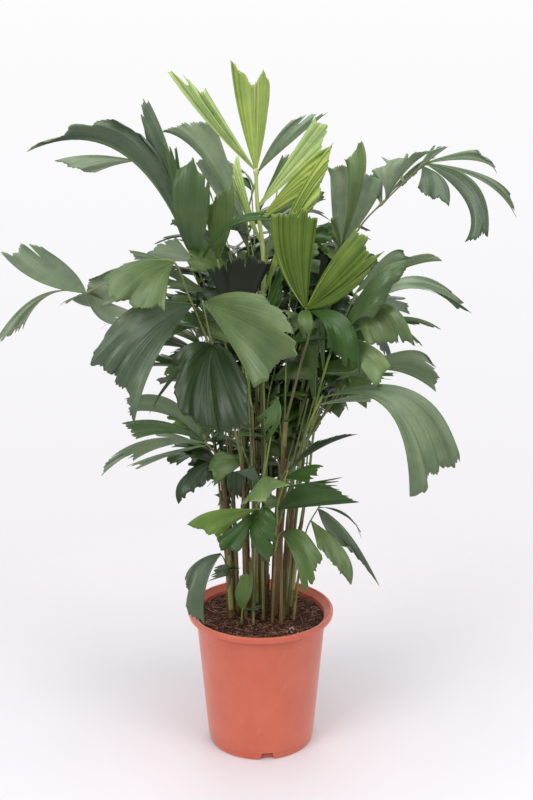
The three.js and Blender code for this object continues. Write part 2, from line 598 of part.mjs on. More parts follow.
const placed = []; // swollen copies of what stands, which later pieces are cut clear of
const overlaps = (a, b) => {
  const p = a.boundingBox();
  const q = b.boundingBox();
  return [0, 1, 2].every((k) => p.min[k] < q.max[k] && q.min[k] < p.max[k]);
};
const cutClear = (solid) => placed.filter((other) => overlaps(other, solid))
  .reduce((left, other) => left.subtract(other), solid);

canes.forEach((row, i) => {
  addNode(`cane_${String(i + 1).padStart(2, '0')}`, mainPiece(cutClear(caneSolid(row))), finish.cane);
  placed.push(caneSolid(row, clearance));
});

const grown = [...fronds.map((frond, i) => laidFrond(frond, 100 * i)),
  ...farFronds.map((frond, i) => grownFrond(frond, 5000 + 100 * i))];
for (const frond of grown) {
  const bright = frond.name === 'frond_new' || frond.name === 'frond_pleated';
  addNode(frond.name, mainPiece(cutClear(frondSolid(frond))), bright ? finish.newLeaf : finish.leaf);
  placed.push(frondSolid(frond, clearance));
}

export default palm;
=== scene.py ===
import math

import bpy
import numpy as np
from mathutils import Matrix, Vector, noise


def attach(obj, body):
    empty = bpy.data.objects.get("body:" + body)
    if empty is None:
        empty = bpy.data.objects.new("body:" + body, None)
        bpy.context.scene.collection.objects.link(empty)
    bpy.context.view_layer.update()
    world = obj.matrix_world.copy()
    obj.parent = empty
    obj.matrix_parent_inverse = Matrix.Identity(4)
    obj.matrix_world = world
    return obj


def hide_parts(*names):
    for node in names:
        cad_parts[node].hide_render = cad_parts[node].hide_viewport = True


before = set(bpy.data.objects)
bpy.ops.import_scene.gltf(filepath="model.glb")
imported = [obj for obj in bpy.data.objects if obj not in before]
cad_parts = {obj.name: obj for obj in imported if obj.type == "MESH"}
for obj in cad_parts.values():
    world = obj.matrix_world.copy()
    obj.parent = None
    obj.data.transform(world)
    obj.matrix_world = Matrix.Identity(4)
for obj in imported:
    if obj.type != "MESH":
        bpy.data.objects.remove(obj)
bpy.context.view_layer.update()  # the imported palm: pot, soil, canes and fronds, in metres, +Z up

mm = 0.001
fullTurn = 2 * math.pi
up = np.array((0.0, 0.0, 1.0))
cameraView = {"eye": (9.4, -2000.0, 1146.0), "pitch": 15.5, "lens": 58.7}  # from the pot's ellipses
eye = np.array(cameraView["eye"])


# Small tools

dice = {"stretch": 12.9898, "shift": 4.1414, "spread": 43758.5453}


def chance(k):
    # A number from 0 to 1 that is always the same for the same seed, which may be an array.
    s = np.sin(k * dice["stretch"] + dice["shift"]) * dice["spread"]
    return s - np.floor(s)


def dealt(span, k, power=1):
    # A number from a least value and the most that chance adds to it.
    least, more = span
    return least + more * chance(k) ** power


def clearSelection():
    if bpy.context.object and bpy.context.object.mode != "OBJECT":
        bpy.ops.object.mode_set(mode="OBJECT")
    bpy.ops.object.select_all(action="DESELECT")


def pick(*pieces):
    clearSelection()
    for piece in pieces:
        piece.select_set(True)
    bpy.context.view_layer.objects.active = pieces[0]


def joined(name, pieces):
    pick(*pieces)
    bpy.ops.object.join()
    whole = bpy.context.object
    whole.name = whole.data.name = name
    return whole


def edited(piece, *steps):
    # Runs mesh operators, each given with its settings, and each on the whole mesh.
    pick(piece)
    bpy.ops.object.mode_set(mode="EDIT")
    for operator, settings in steps:
        bpy.ops.mesh.select_all(action="SELECT")
        operator(**settings)
    bpy.ops.object.mode_set(mode="OBJECT")


welding = (bpy.ops.mesh.remove_doubles, {"threshold": 0.01 * mm})
facingOut = (bpy.ops.mesh.normals_make_consistent, {"inside": False})


def finishPiece(piece, slotName, *nodes):
    # Smooth shading, and hiding the solids that the piece stands for.
    pick(piece)
    bpy.ops.object.shade_smooth()
    if nodes:
        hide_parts(*nodes)
    return piece


def applyModifier(piece, name, kind, settings):
    pick(piece)
    modifier = piece.modifiers.new(name, kind)
    for key, value in settings.items():
        setattr(modifier, key, value)
    bpy.ops.object.modifier_apply(modifier=name)


def meshPiece(name, corners, edges, faces):
    mesh = bpy.data.meshes.new(name)
    mesh.from_pydata(corners, edges, faces)
    piece = bpy.data.objects.new(name, mesh)
    bpy.context.collection.objects.link(piece)
    return piece


def gridPiece(name, columns, rows):
    # A flat grid whose corners carry their shares of the way across and along, to be shaped afterwards.
    clearSelection()
    bpy.ops.mesh.primitive_grid_add(x_subdivisions=columns, y_subdivisions=rows, size=1)
    piece = bpy.context.object
    piece.name = name
    places = np.empty(len(piece.data.vertices) * 3)
    piece.data.vertices.foreach_get("co", places)
    places = places.reshape(-1, 3) + 0.5
    return piece, places[:, 0], places[:, 1]


def shape(piece, places, across, along):
    # Puts a grid's corners at places in millimetres, and its UV map at across, along.
    mesh = piece.data
    mesh.vertices.foreach_set("co", (places * mm).ravel())
    corners = np.empty(len(mesh.loops), np.int32)
    mesh.loops.foreach_get("vertex_index", corners)
    mesh.uv_layers[0].data.foreach_set("uv", np.stack((across, along), 1)[corners].ravel())
    mesh.update()


def unit(v):
    return v / np.maximum(np.linalg.norm(v, axis=-1, keepdims=True), 1e-9)


def spokes(turn):
    # Level directions at angles round the vertical.
    return np.stack((np.cos(turn), np.sin(turn), np.zeros_like(turn)), 1)


def pointAt(curve, share):
    # The point at a share of a curve's length; the curve is a fine row of points.
    reach = np.concatenate(([0], np.cumsum(np.linalg.norm(np.diff(curve, axis=0), axis=1))))
    return np.stack([np.interp(share * reach[-1], reach, curve[:, k]) for k in range(3)], -1)


def lengthOf(curve):
    return np.linalg.norm(np.diff(curve, axis=0), axis=1).sum()


def tube(name, curve, radiusAt, sides, rows):
    # A closed round stem: radiusAt(share, turn) gives its radius, in millimetres.
    piece, across, along = gridPiece(name, sides, rows)
    share = np.clip((along * rows - 1) / (rows - 2), 0, 1)  # the first and the last row close the ends
    turn = across * fullTurn
    step = 0.01
    heading = unit(pointAt(curve, np.minimum(share + step, 1)) - pointAt(curve, np.maximum(share - step, 0)))
    side = unit(np.cross((0.0, 1.0, 0.0), heading))
    front = np.cross(heading, side)
    radius = radiusAt(share, turn) * ((along > 0.5 / rows) & (along < 1 - 0.5 / rows))
    out = side * np.cos(turn)[:, None] + front * np.sin(turn)[:, None]
    places = pointAt(curve, share) + out * radius[:, None]
    shape(piece, places, across * fullTurn * radius.max(), share * lengthOf(curve))
    return piece


# Materials

def linear(hexColour, factor=1.0):
    # A linear colour from its sRGB hex form, made darker or lighter by a factor.
    parts = np.array([int(hexColour[i:i + 2], 16) / 255 for i in (1, 3, 5)])
    parts = np.where(parts <= 0.04045, parts / 12.92, ((parts + 0.055) / 1.055) ** 2.4)
    return (*(parts * factor).clip(0, 1), 1.0)


def feed(node, links):
    # Links into a node's inputs, each from a node and the name of its output.
    for key, (source, output) in links.items():
        node.id_data.links.new(source.outputs[output], node.inputs[key])


def addNode(tree, kind, settings=None, links=None):
    node = tree.nodes.new("ShaderNode" + kind)
    for key, value in (settings or {}).items():
        if isinstance(key, int) or key in node.inputs:
            node.inputs[key].default_value = value
        else:
            setattr(node, key, value)
    feed(node, links or {})
    return node


def setStops(ramp, *stops):
    # The stops of a colour ramp, each a position and a colour: both ends, then what lies between.
    elements = ramp.color_ramp.elements
    for i, (position, colour) in enumerate(stops):
        stop = elements[i] if i < 2 else elements.new(position)
        stop.position, stop.color = position, colour


def newMaterial(name, settings):
    material = bpy.data.materials.new(name)
    material.use_nodes = True
    tree = material.node_tree
    shader = tree.nodes["Principled BSDF"]
    for key, value in settings.items():
        shader.inputs[key].default_value = value
    return material, tree, shader, addNode(tree, "TexCoord")


def bandScale(period):
    # The scale at which a wave texture repeats every period, in the units of its coordinates.
    return fullTurn / 20 / period


# Each leaflet's tone is chosen for how light or dark it looks. Besides the greens of young, old and turned
# leaflets, the tones therefore carry painted light and shade; shade is the near-black painted shade of
# leaflets deep in the crown.
leafTones = {  # upper side, underside, roughness of the wax
    "bright": ("#8da34c", "#9cb060", 0.46),
    "pale_new": ("#a7be75", "#b2c687", 0.48),
    "spring": ("#597120", "#7b9440", 0.44),
    "apple": ("#5b782a", "#6f8a4c", 0.42),
    "lime": ("#35590a", "#5c7a40", 0.42),
    "leafy": ("#2d4f10", "#4a6a3c", 0.40),
    "mid": ("#4a632b", "#5b7548", 0.40),
    "soft": ("#738a54", "#76896a", 0.42),
    "fresh": ("#566b3e", "#6a7f60", 0.42),
    "olive": ("#657858", "#72826a", 0.44),
    "sage": ("#788a6c", "#7f9180", 0.42),
    "slate": ("#4d5f46", "#6c7d6a", 0.38),
    "deep": ("#465e34", "#5d7550", 0.38),
    "dark": ("#233716", "#42523a", 0.38),
    "shade": ("#0b1b03", "#34442c", 0.52),
    "pale": ("#869779", "#3c5434", 0.50),  # a leaflet that shows its underside
}
youngTones = ("bright", "spring", "pale_new")
leafDetail = {
    "veins": 2.5, "nerves": 10.0, "mottle": 45.0,  # millimetres from one to the next
    "streak": (9.0, 1 / 2.2),  # across in millimetres, along in leaflets
    "edge": "#8f9a55", "edgeFrom": 0.985, "dim": (0.78, 0.84, 0.84), "lit": (1.22, 1.13, 1.12), "fine": 0.06,
}
leafAges = {  # tones of the nerves, veins and edge and depths of the relief, then the folds, in millimetres
    "young": {"nerveWidth": 0.16, "nerveTone": 0.73, "veinTone": 0.16, "edgeTone": 0.5,
              "nerveDepth": 0.6, "streakDepth": 0.9,
              "pleatEvery": 14.0, "pleat": 3.0, "wave": 2.2, "ripple": 0.7, "frill": 0.3},
    "old": {"nerveWidth": 0.08, "nerveTone": 0.9, "veinTone": 0.07, "edgeTone": 0.22,
            "nerveDepth": 0.2, "streakDepth": 2.2,
            "pleatEvery": 11.0, "pleat": 0.28, "wave": 4.6, "ripple": 1.9, "frill": 0.8},
}


def ageOf(tone):
    return leafAges["young" if tone in youngTones else "old"]


def leafSkin(name, colour, roughness, underside, age):
    # Living leaf, waxy and finely veined along its rays: a soft sheen broken by the veins.
    material, tree, shader, place = newMaterial(name, {
        "IOR": 1.45, "Roughness": roughness + (0.12 if underside else 0),
        "Coat Weight": 0.0 if underside else 0.15, "Coat Roughness": 0.35})
    d = leafDetail
    veins = addNode(tree, "TexWave", {
        "bands_direction": "X", "Scale": bandScale(d["veins"]), "Distortion": 0.5, "Detail": 1.0},
        {"Vector": (place, "UV")})
    nerves = addNode(tree, "TexWave", {"bands_direction": "X", "Scale": bandScale(d["nerves"])}, {
        "Vector": (place, "UV")})
    nerveLine = addNode(tree, "MapRange", {
        "From Min": 0.0, "From Max": age["nerveWidth"], "To Min": age["nerveTone"], "To Max": 1.0}, {
        "Value": (nerves, "Fac")})
    mottle = addNode(tree, "TexNoise", {"Scale": 1 / (d["mottle"] * mm), "Detail": 5.0, "Roughness": 0.62}, {
        "Vector": (place, "Object")})
    patches = addNode(tree, "ValToRGB", {}, {"Fac": (mottle, "Fac")})
    setStops(patches, (0.34, linear(colour, d["dim"])), (0.68, linear(colour, d["lit"])))
    lines = addNode(tree, "MixRGB", {"blend_type": "SOFT_LIGHT", "Fac": age["veinTone"]}, {
        "Color1": (patches, "Color"), "Color2": (veins, "Color")})
    ribbed = addNode(tree, "MixRGB", {"blend_type": "MULTIPLY", "Fac": 1.0}, {
        "Color1": (lines, "Color"), "Color2": (nerveLine, "Result")})
    parts = addNode(tree, "SeparateXYZ", {}, {"Vector": (place, "UV")})
    edge = addNode(tree, "MapRange", {
        "From Min": d["edgeFrom"], "From Max": 1.0, "To Min": 0.0, "To Max": age["edgeTone"]}, {
        "Value": (parts, "Y")})
    finished = addNode(tree, "MixRGB", {"Color2": linear(d["edge"])}, {
        "Fac": (edge, "Result"), "Color1": (ribbed, "Color")})
    wide, long = d["streak"]
    stretch = addNode(tree, "Mapping", {"Scale": (1 / wide, 1 / long, 1.0)}, {"Vector": (place, "UV")})
    streaks = addNode(tree, "TexNoise", {"Scale": 1.0, "Detail": 3.0, "Roughness": 0.5}, {
        "Vector": (stretch, "Vector")})
    fine = addNode(tree, "Bump", {"Strength": 0.3, "Distance": d["fine"] * mm}, {"Height": (veins, "Fac")})
    valley = addNode(tree, "Bump", {"Strength": 0.5, "Distance": age["nerveDepth"] * mm}, {
        "Height": (nerveLine, "Result"), "Normal": (fine, "Normal")})
    broad = addNode(tree, "Bump", {"Strength": 0.55, "Distance": age["streakDepth"] * mm}, {
        "Height": (streaks, "Fac"), "Normal": (valley, "Normal")})
    feed(shader, {"Base Color": (finished, "Color"), "Normal": (broad, "Normal")})
    if not underside:
        wax = addNode(tree, "MapRange", {
            "From Min": 0.35, "From Max": 0.65, "To Min": roughness - 0.06, "To Max": roughness + 0.12}, {
            "Value": (streaks, "Fac")})
        feed(shader, {"Roughness": (wax, "Result")})
    return material


leafSkins = {
    tone: (leafSkin(f"leaf {tone} upper side", upper, wax, False, ageOf(tone)),
           leafSkin(f"leaf {tone} underside", lower, wax, True, ageOf(tone)))
    for tone, (upper, lower, wax) in leafTones.items()}


stemDetail = {"lengthen": 0.0264, "patches": 34.0, "relief": 0.5}  # how long streaks are drawn, millimetres


def stemSkin(name, colours, streak, roughness=0.5):
    # Green cane and leaf stalk: fibrous, streaked along its length, with a dull natural gloss.
    material, tree, shader, place = newMaterial(name, {"IOR": 1.45, "Roughness": roughness})
    d = stemDetail
    low, high, blotch = colours
    stretch = addNode(tree, "Mapping", {"Scale": (1 / streak, d["lengthen"] / streak, 1.0)}, {
        "Vector": (place, "UV")})
    streaks = addNode(tree, "TexNoise", {"Scale": 1.0, "Detail": 5.0, "Roughness": 0.62}, {
        "Vector": (stretch, "Vector")})
    ramp = addNode(tree, "ValToRGB", {}, {"Fac": (streaks, "Fac")})
    setStops(ramp, (0.36, linear(low)), (0.62, linear(high)))
    where = addNode(tree, "TexNoise", {"Scale": 1 / (d["patches"] * mm), "Detail": 2.0}, {
        "Vector": (place, "Object")})
    patch = addNode(tree, "MapRange", {"From Min": 0.48, "From Max": 0.62, "To Max": 0.75}, {
        "Value": (where, "Fac")})
    mixed = addNode(tree, "MixRGB", {"Color2": linear(blotch)}, {
        "Fac": (patch, "Result"), "Color1": (ramp, "Color")})
    bump = addNode(tree, "Bump", {"Strength": 0.5, "Distance": d["relief"] * mm}, {
        "Height": (streaks, "Fac")})
    feed(shader, {"Base Color": (mixed, "Color"), "Normal": (bump, "Normal")})
    return material


# Colours of the streaks and of the patches, then the width of the streaks in millimetres.
caneGreen = stemSkin("green cane skin", ("#5c6634", "#949358", "#86694a"), 1.6)
caneBrown = stemSkin("ripened cane skin", ("#57432c", "#8a7048", "#6f573a"), 1.6)
# caneShade is a darker copy of the cane skin: painted shade for the dark gaps between the canes, given to
# some canes and stalks.
caneShade = stemSkin("painted shade cane skin", ("#36421f", "#686e3e", "#54462f"), 1.6)
stalkGreen = stemSkin("green leaf stalk", ("#5f7a38", "#93a358", "#6f8747"), 1.2, 0.42)
stalkDull = stemSkin("weathered leaf stalk", ("#56603a", "#8a8a5c", "#666442"), 1.2, 0.5)
stalkNew = stemSkin("new leaf stalk", ("#8fa552", "#c3c98c", "#a9b56a"), 1.2, 0.42)
sheathDry = stemSkin("dry leaf sheath", ("#523a29", "#7d664a", "#624a33"), 1.0, 0.75)
sheathGreen = stemSkin("green leaf sheath", ("#7e8a48", "#a9aa72", "#80683f"), 1.2, 0.55)
ribOld = stemSkin("leaf rib", ("#5d7f3d", "#7d9a55", "#6a8a48"), 1.0, 0.42)
ribDark = stemSkin("shaded leaf rib", ("#2c4420", "#40592e", "#354d26"), 1.0, 0.42)
ribNew = stemSkin("new leaf rib", ("#93a83f", "#b9c46c", "#a3b455"), 1.0, 0.42)


# Pot: moulded polypropylene, a rolled rim over a tapering wall

potShape = {
    "height": 234.0, "rimRadius": 120.0, "neckRadius": 107.5, "footRadius": 87.0, "wall": 2.6,
    "rimBand": 10.0, "lip": 2.4, "bead": 1.6, "neckRound": 2.5,
    "hub": 30.0, "sole": 78.0, "recess": 3.0, "footRound": 1.5,  # the underside rests on its hub and its sole
    "footRing": 13.0, "floorTop": 6.0, "step": 202.0, "sides": 144, "sharpFrom": 32.0,
    "notches": 4, "notchTurn": -83.0, "notchTop": 18.0, "notchBottom": 25.0,
    "notchHeight": 11.5, "notchDepth": 12.0,
}


def arc(centreR, centreZ, radius, start, end, count):
    turns = np.radians(np.linspace(start, end, count))
    return [(centreR + radius * math.cos(t), centreZ + radius * math.sin(t)) for t in turns]


def potProfile():
    # Radius and height from the middle of the underside, up the outside, over the rim and down the inside.
    # The ring, the step and the bends stand out from the wall by parts of a millimetre.
    s = potShape
    top, rim, lip, bead = s["height"], s["rimRadius"], s["lip"], s["bead"]
    neck, foot, ring, step = s["neckRadius"], s["footRadius"], s["footRing"], s["step"]
    band, bend, sole = top - s["rimBand"], s["neckRound"], s["footRound"]
    innerNeck, innerFoot, ground = neck - s["wall"], foot - s["wall"], s["floorTop"]

    def wallAt(z):
        share = (z - ring) / (band - 2 - ring)
        return foot + lip + (neck - foot - lip) * share

    return [
        (0, 0), (s["hub"], 0), (s["hub"] + 2, s["recess"]), (s["sole"] - 2, s["recess"]), (s["sole"], 0),
        *arc(foot - sole, sole, sole, -90, 0, 4),
        (foot + 0.5, ring - 1), (foot + 1.6, ring), (wallAt(ring + 1), ring + 1),
        (wallAt(step) - 0.1, step), (wallAt(step) + 0.5, step + 0.7),
        (neck + 0.4, band - 2.4), *arc(neck + 0.4 + bend, band - 2.4, bend, 180, 90, 5),
        (rim - 2.2, band + 0.1), *arc(rim - bead, band + 1.7, bead, -90, 0, 5),
        *arc(rim - lip, top - lip, lip, 0, 90, 7), *arc(rim - lip - 1.2, top - bead, bead, 90, 180, 5),
        (innerNeck + 1.4, band + 1), (innerNeck, band - 4),
        (innerFoot + 1, ground + 3), (innerFoot - 4, ground), (0, ground),
    ]


def notchCutter(turn):
    # A wedge across the wall at the floor, wider at its foot.
    s = potShape
    bpy.ops.mesh.primitive_cube_add(size=1)
    cutter = bpy.context.object
    for v in cutter.data.vertices:
        width, height = (s["notchBottom"], -1) if v.co.z < 0 else (s["notchTop"], s["notchHeight"])
        v.co = Vector((v.co.x * s["notchDepth"] + s["footRadius"] - 1, v.co.y * width, height)) * mm
    cutter.rotation_euler.z = math.radians(turn)
    bpy.ops.object.transform_apply(location=False, rotation=True, scale=False)
    return cutter


def makePot():
    s = potShape
    points = potProfile()
    pot = meshPiece("mouldedPot", [(r * mm, 0, z * mm) for r, z in points],
                    [(i, i + 1) for i in range(len(points) - 1)], [])
    spinning = {"steps": s["sides"], "angle": fullTurn, "center": (0, 0, 0), "axis": (0, 0, 1)}
    edited(pot, (bpy.ops.mesh.spin, spinning), welding, facingOut)
    cutter = joined("notchCutters", [
        notchCutter(s["notchTurn"] + 360 / s["notches"] * i) for i in range(s["notches"])])
    applyModifier(pot, "notches", "BOOLEAN", {"operation": "DIFFERENCE", "solver": "EXACT", "object": cutter})
    bpy.data.objects.remove(cutter)
    pick(pot)
    bpy.ops.object.shade_smooth_by_angle(angle=math.radians(s["sharpFrom"]))
    pot.data.materials.append(potPlastic())
    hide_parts("pot")
    return pot


def potPlastic():
    # Terracotta-coloured polypropylene: satin from the mould, with a fine grain and faint handling marks.
    material, tree, shader, place = newMaterial("terracotta polypropylene", {
        "IOR": 1.49, "Roughness": 0.42, "Coat Weight": 0.12, "Coat Roughness": 0.5, "Sheen Weight": 0.35,
        "Sheen Roughness": 0.45, "Sheen Tint": linear("#f6e6e2")})
    cloud = addNode(tree, "TexNoise", {"Scale": 1 / (60 * mm), "Detail": 3.0}, {"Vector": (place, "Object")})
    ramp = addNode(tree, "ValToRGB", {}, {"Fac": (cloud, "Fac")})
    setStops(ramp, (0.3, linear("#c25a40")), (0.7, linear("#cc654a")))
    smear = addNode(tree, "Mapping", {"Scale": (1.0, 1.0, 0.35)}, {"Vector": (place, "Object")})
    dust = addNode(tree, "TexNoise", {"Scale": 1 / (14 * mm), "Detail": 6.0, "Roughness": 0.7}, {
        "Vector": (smear, "Vector")})
    dustAmount = addNode(tree, "MapRange", {"From Min": 0.56, "From Max": 0.78, "To Max": 0.16}, {
        "Value": (dust, "Fac")})
    dusty = addNode(tree, "MixRGB", {"Color2": linear("#e0a48c")}, {
        "Fac": (dustAmount, "Result"), "Color1": (ramp, "Color")})
    gloss = addNode(tree, "MapRange", {"From Min": 0.3, "From Max": 0.7, "To Min": 0.36, "To Max": 0.5}, {
        "Value": (dust, "Fac")})
    grain = addNode(tree, "TexNoise", {"Scale": 1 / (0.9 * mm), "Detail": 2.0}, {"Vector": (place, "Object")})
    bump = addNode(tree, "Bump", {"Strength": 0.12, "Distance": 0.1 * mm}, {"Height": (grain, "Fac")})
    feed(shader, {"Base Color": (dusty, "Color"), "Roughness": (gloss, "Result"), "Normal": (bump, "Normal")})
    return material


# Potting mix: dark peat with coir fibre and a few pale crumbs

soilShape = {
    "level": 222.0, "radius": 104.7, "depth": 26.0, "lump": 3.4, "rows": 70, "sides": 168, "topShare": 0.9,
    "settled": 1.2, "lumps": ((17, 0.7, 0.3), (7, 0.35, 4.1), (2.6, 0.28, 9.7)),  # width, share of lump, seed
    "edge": 0.86, "edgeDrop": 2.2,  # from this share of the radius the top falls away to the wall
    "sideGap": 0.6, "sideTop": 4.0, "strewnTo": 0.96,
}
fibreShape = {  # the pairs are a least value and what chance adds to it
    "count": 1500, "cuts": (-0.3, -0.1, 0.1, 0.3), "length": (5, 20), "radius": (0.22, 0.3),
    "tilt": (-0.4, 1), "tiltBy": 0.5, "lift": 0.3, "taper": (1.4, 1.5), "seed": 1000, "nextSeed": 3.1,
    "colours": {"red coir fibre": "#7c4836", "brown coir fibre": "#56362a", "straw coir fibre": "#a07c5a"},
}
crumbShape = {
    "count": 620, "radius": (0.9, 2.2), "dented": (0.75, 0.5), "narrow": (0.5, 0.5), "flat": 0.6, "lift": 0.2,
    "pale": 0.06, "paleSize": 0.8, "palePatch": (55, -62, 16.1),  # x, y and radius of a paler patch
    "seed": 9000, "nextSeed": 2.3,
    "colours": {"bark chip": "#4a2c22", "dark peat crumb": "#2a1a16", "root scrap": "#80563f",
                "pale mineral crumb": "#b9a894"},
}


def soilHeight(x, y):
    # The lumpy top of the soil.
    s = soilShape
    lumps = sum(noise.noise(Vector((x / wide, y / wide, seed))) * share for wide, share, seed in s["lumps"])
    edge = max(0.0, math.hypot(x, y) / s["radius"] - s["edge"]) / (1 - s["edge"])
    return s["level"] - s["settled"] + s["lump"] * lumps - s["edgeDrop"] * edge ** 2


def makeSoil():
    s = soilShape
    soil, across, along = gridPiece("pottingMix", s["sides"], s["rows"])
    turn = across * fullTurn
    topShare = s["topShare"]  # of the rows; the rest go down the side and back under
    radius = np.where(along <= topShare, along / topShare, (1 - along) / (1 - topShare)) * s["radius"]
    below = along > topShare
    radius[below & (along < 1 - 0.5 / s["rows"])] = s["radius"] - s["sideGap"]
    radius[along > 1 - 0.5 / s["rows"]] = 0
    x, y = radius * np.cos(turn), radius * np.sin(turn)
    top = np.array([soilHeight(a, b) for a, b in zip(x, y)])
    sink = np.clip((along - topShare) / (1 - topShare), 0, 1) * s["depth"]
    z = np.where(below, s["level"] - s["sideTop"] - sink, top)
    shape(soil, np.stack((x, y, z), 1), x, y)
    edited(soil, welding, facingOut)
    soil.data.materials.append(pottingMixMaterial())
    return finishPiece(soil, "soil", "soil")


def pottingMixMaterial():
    # Moist peat and coir, red-brown on the crumbs and dull all over; near black in the hollows, which is
    # painted shade over the peat's own dark brown.
    material, tree, shader, place = newMaterial("moist peat and coir", {"IOR": 1.4, "Roughness": 0.92})
    crumbs = addNode(tree, "TexNoise", {"Scale": 1 / (4.5 * mm), "Detail": 8.0, "Roughness": 0.72}, {
        "Vector": (place, "Object")})
    ramp = addNode(tree, "ValToRGB", {}, {"Fac": (crumbs, "Fac")})
    # The lowest stop falls where the bump is lowest: painted shade in the hollows.
    setStops(ramp, (0.38, linear("#170a0a")), (0.66, linear("#63362d")), (0.52, linear("#331916")))
    bump = addNode(tree, "Bump", {"Strength": 0.8, "Distance": 1.6 * mm}, {"Height": (crumbs, "Fac")})
    feed(shader, {"Base Color": (ramp, "Color"), "Normal": (bump, "Normal")})
    return material


def crumbMaterial(name, colour):
    material, tree, shader, place = newMaterial(name, {"IOR": 1.4, "Roughness": 0.9})
    spots = addNode(tree, "TexNoise", {"Scale": 1 / (6 * mm), "Detail": 4.0}, {"Vector": (place, "Object")})
    ramp = addNode(tree, "ValToRGB", {}, {"Fac": (spots, "Fac")})
    setStops(ramp, (0, linear(colour, 0.6)), (1, linear(colour, 1.35)))
    feed(shader, {"Base Color": (ramp, "Color")})
    return material


def strewn(name, model, rows, colours):
    # One mesh of many copies of a model; a row is turn matrix, place and material index.
    corners = np.array([v.co for v in model.data.vertices])
    faces = [tuple(p.vertices) for p in model.data.polygons]
    places, loops, kinds = [], [], []
    for matrix, place, kind in rows:
        start = len(places) * len(corners)
        places.append((corners @ matrix.T + place) * mm)
        loops.extend([tuple(start + k for k in face) for face in faces])
        kinds.extend([kind] * len(faces))
    bpy.data.objects.remove(model)
    piece = meshPiece(name, np.concatenate(places).tolist(), [], loops)
    piece.data.polygons.foreach_set("material_index", kinds)
    for label, colour in colours.items():
        piece.data.materials.append(crumbMaterial(label, colour))
    return finishPiece(piece, "soil")


def onSoil(k):
    s = soilShape
    turn, radius = chance(k) * fullTurn, math.sqrt(chance(k + 0.37)) * s["radius"] * s["strewnTo"]
    return radius * math.cos(turn), radius * math.sin(turn)


def makeFibres():
    # Coir: straight hairs up to 25 mm long, thinner at both ends, lying on the crumbs.
    s = fibreShape
    bpy.ops.mesh.primitive_cylinder_add(vertices=4, radius=1, depth=1, end_fill_type="TRIFAN")
    model = bpy.context.object
    edited(model, *((bpy.ops.mesh.bisect, {"plane_co": (0, 0, cut), "plane_no": (0, 0, 1)})
                    for cut in s["cuts"]))
    loss, power = s["taper"]
    for v in model.data.vertices:
        v.co.xy *= 1 - loss * abs(v.co.z) ** power
    rows = []
    for i in range(s["count"]):
        k = s["seed"] + s["nextSeed"] * i
        x, y = onSoil(k)
        length, thick = dealt(s["length"], k + 1, 2), dealt(s["radius"], k + 2)
        turn, tilt = chance(k + 3) * fullTurn, dealt(s["tilt"], k + 4) * s["tiltBy"]
        along = np.array((math.cos(turn) * math.cos(tilt), math.sin(turn) * math.cos(tilt), math.sin(tilt)))
        side = unit(np.cross(up, along))
        matrix = np.stack((side * thick, np.cross(along, side) * thick, along * length), 1)
        lift = soilHeight(x, y) + s["lift"] + abs(math.sin(tilt)) * length * s["lift"]
        rows.append((matrix, np.array((x, y, lift)), int(chance(k + 5) * len(s["colours"]))))
    return strewn("coirFibres", model, rows, s["colours"])


def makeCrumbs():
    # Bark chips, root scraps and a few pale mineral crumbs, 1.5 to 6 mm across.
    s = crumbShape
    bpy.ops.mesh.primitive_ico_sphere_add(subdivisions=1, radius=1)
    model = bpy.context.object
    for i, v in enumerate(model.data.vertices):
        v.co *= dealt(s["dented"], i + 70)
    patchX, patchY, patchRadius = s["palePatch"]
    rows = []
    for i in range(s["count"]):
        k = s["seed"] + s["nextSeed"] * i
        x, y = onSoil(k)
        kind, size = int(chance(k + 5) * 3), dealt(s["radius"], k + 1, 2)
        if chance(k + 8) < s["pale"] or math.hypot(x - patchX, y - patchY) < patchRadius:
            kind, size = 3, size * s["paleSize"]
        turn = chance(k + 2) * fullTurn
        cos, sin = math.cos(turn), math.sin(turn)
        scales = size, size * dealt(s["narrow"], k + 3), size * s["flat"]
        matrix = np.array(((cos, -sin, 0), (sin, cos, 0), (0, 0, 1))) * scales
        rows.append((matrix, np.array((x, y, soilHeight(x, y) + s["lift"] * size)), kind))
    return strewn("soilCrumbs", model, rows, s["colours"])


# The clump: canes as foot x, y on the soil, tip x, y, z, radius at foot and tip, in millimetres

clearance = 0.3  # between the soil and the canes, as in the solids
canes = [
    [-50, -20, -60, -14, 455, 7.2, 4.8],
    [-37, 4, -50, 0, 560, 5.6, 4.0],
    [-24, -24, -30, -32, 500, 5.2, 3.8],
    [-21, 12, -32, 15, 600, 6.0, 4.2],
    [-8, -6, -14, -6, 580, 5.4, 3.8],
    [-2, 20, -6, 24, 640, 5.6, 4.0],
    [8, 4, 3, 4, 690, 6.8, 5.0],
    [4, -28, 2, -48, 395, 4.8, 3.6],
    [25, -8, 40, -14, 560, 6.6, 4.6],
    [20, 24, 40, 28, 600, 5.4, 3.8],
    [36, 12, 62, 14, 560, 5.6, 4.0],
    [43, -8, 68, -12, 500, 5.4, 4.0],
    [38, -26, 56, -34, 450, 5.2, 3.8],
    [54, -30, 66, -46, 340, 4.2, 3.2],
    [19, -38, 26, -54, 400, 4.8, 3.6],
    [-12, -42, -6, -56, 430, 4.6, 3.4],
    [-31, -50, -31, -52, 236, 4.6, 3.4],
    [-42, 28, -66, 55, 490, 5.4, 4.0],
    [-20, 40, -26, 70, 540, 5.6, 4.0],
    [4, 44, 8, 80, 580, 5.8, 4.0],
    [28, 42, 46, 70, 500, 5.4, 4.0],
    [50, 24, 80, 44, 450, 5.2, 3.8],
    [-50, 8, -66, 22, 400, 5.2, 3.8],
    [10, 60, 4, 88, 360, 4.8, 3.6],
    [-6, 60, -12, 94, 560, 5.4, 4.0],
    [34, -44, 34, -22, 470, 4.4, 3.2],
    [-12, -22, -13, -24, 520, 5.0, 3.4],
    [10, 31, 18, 46, 520, 4.8, 3.6],
]

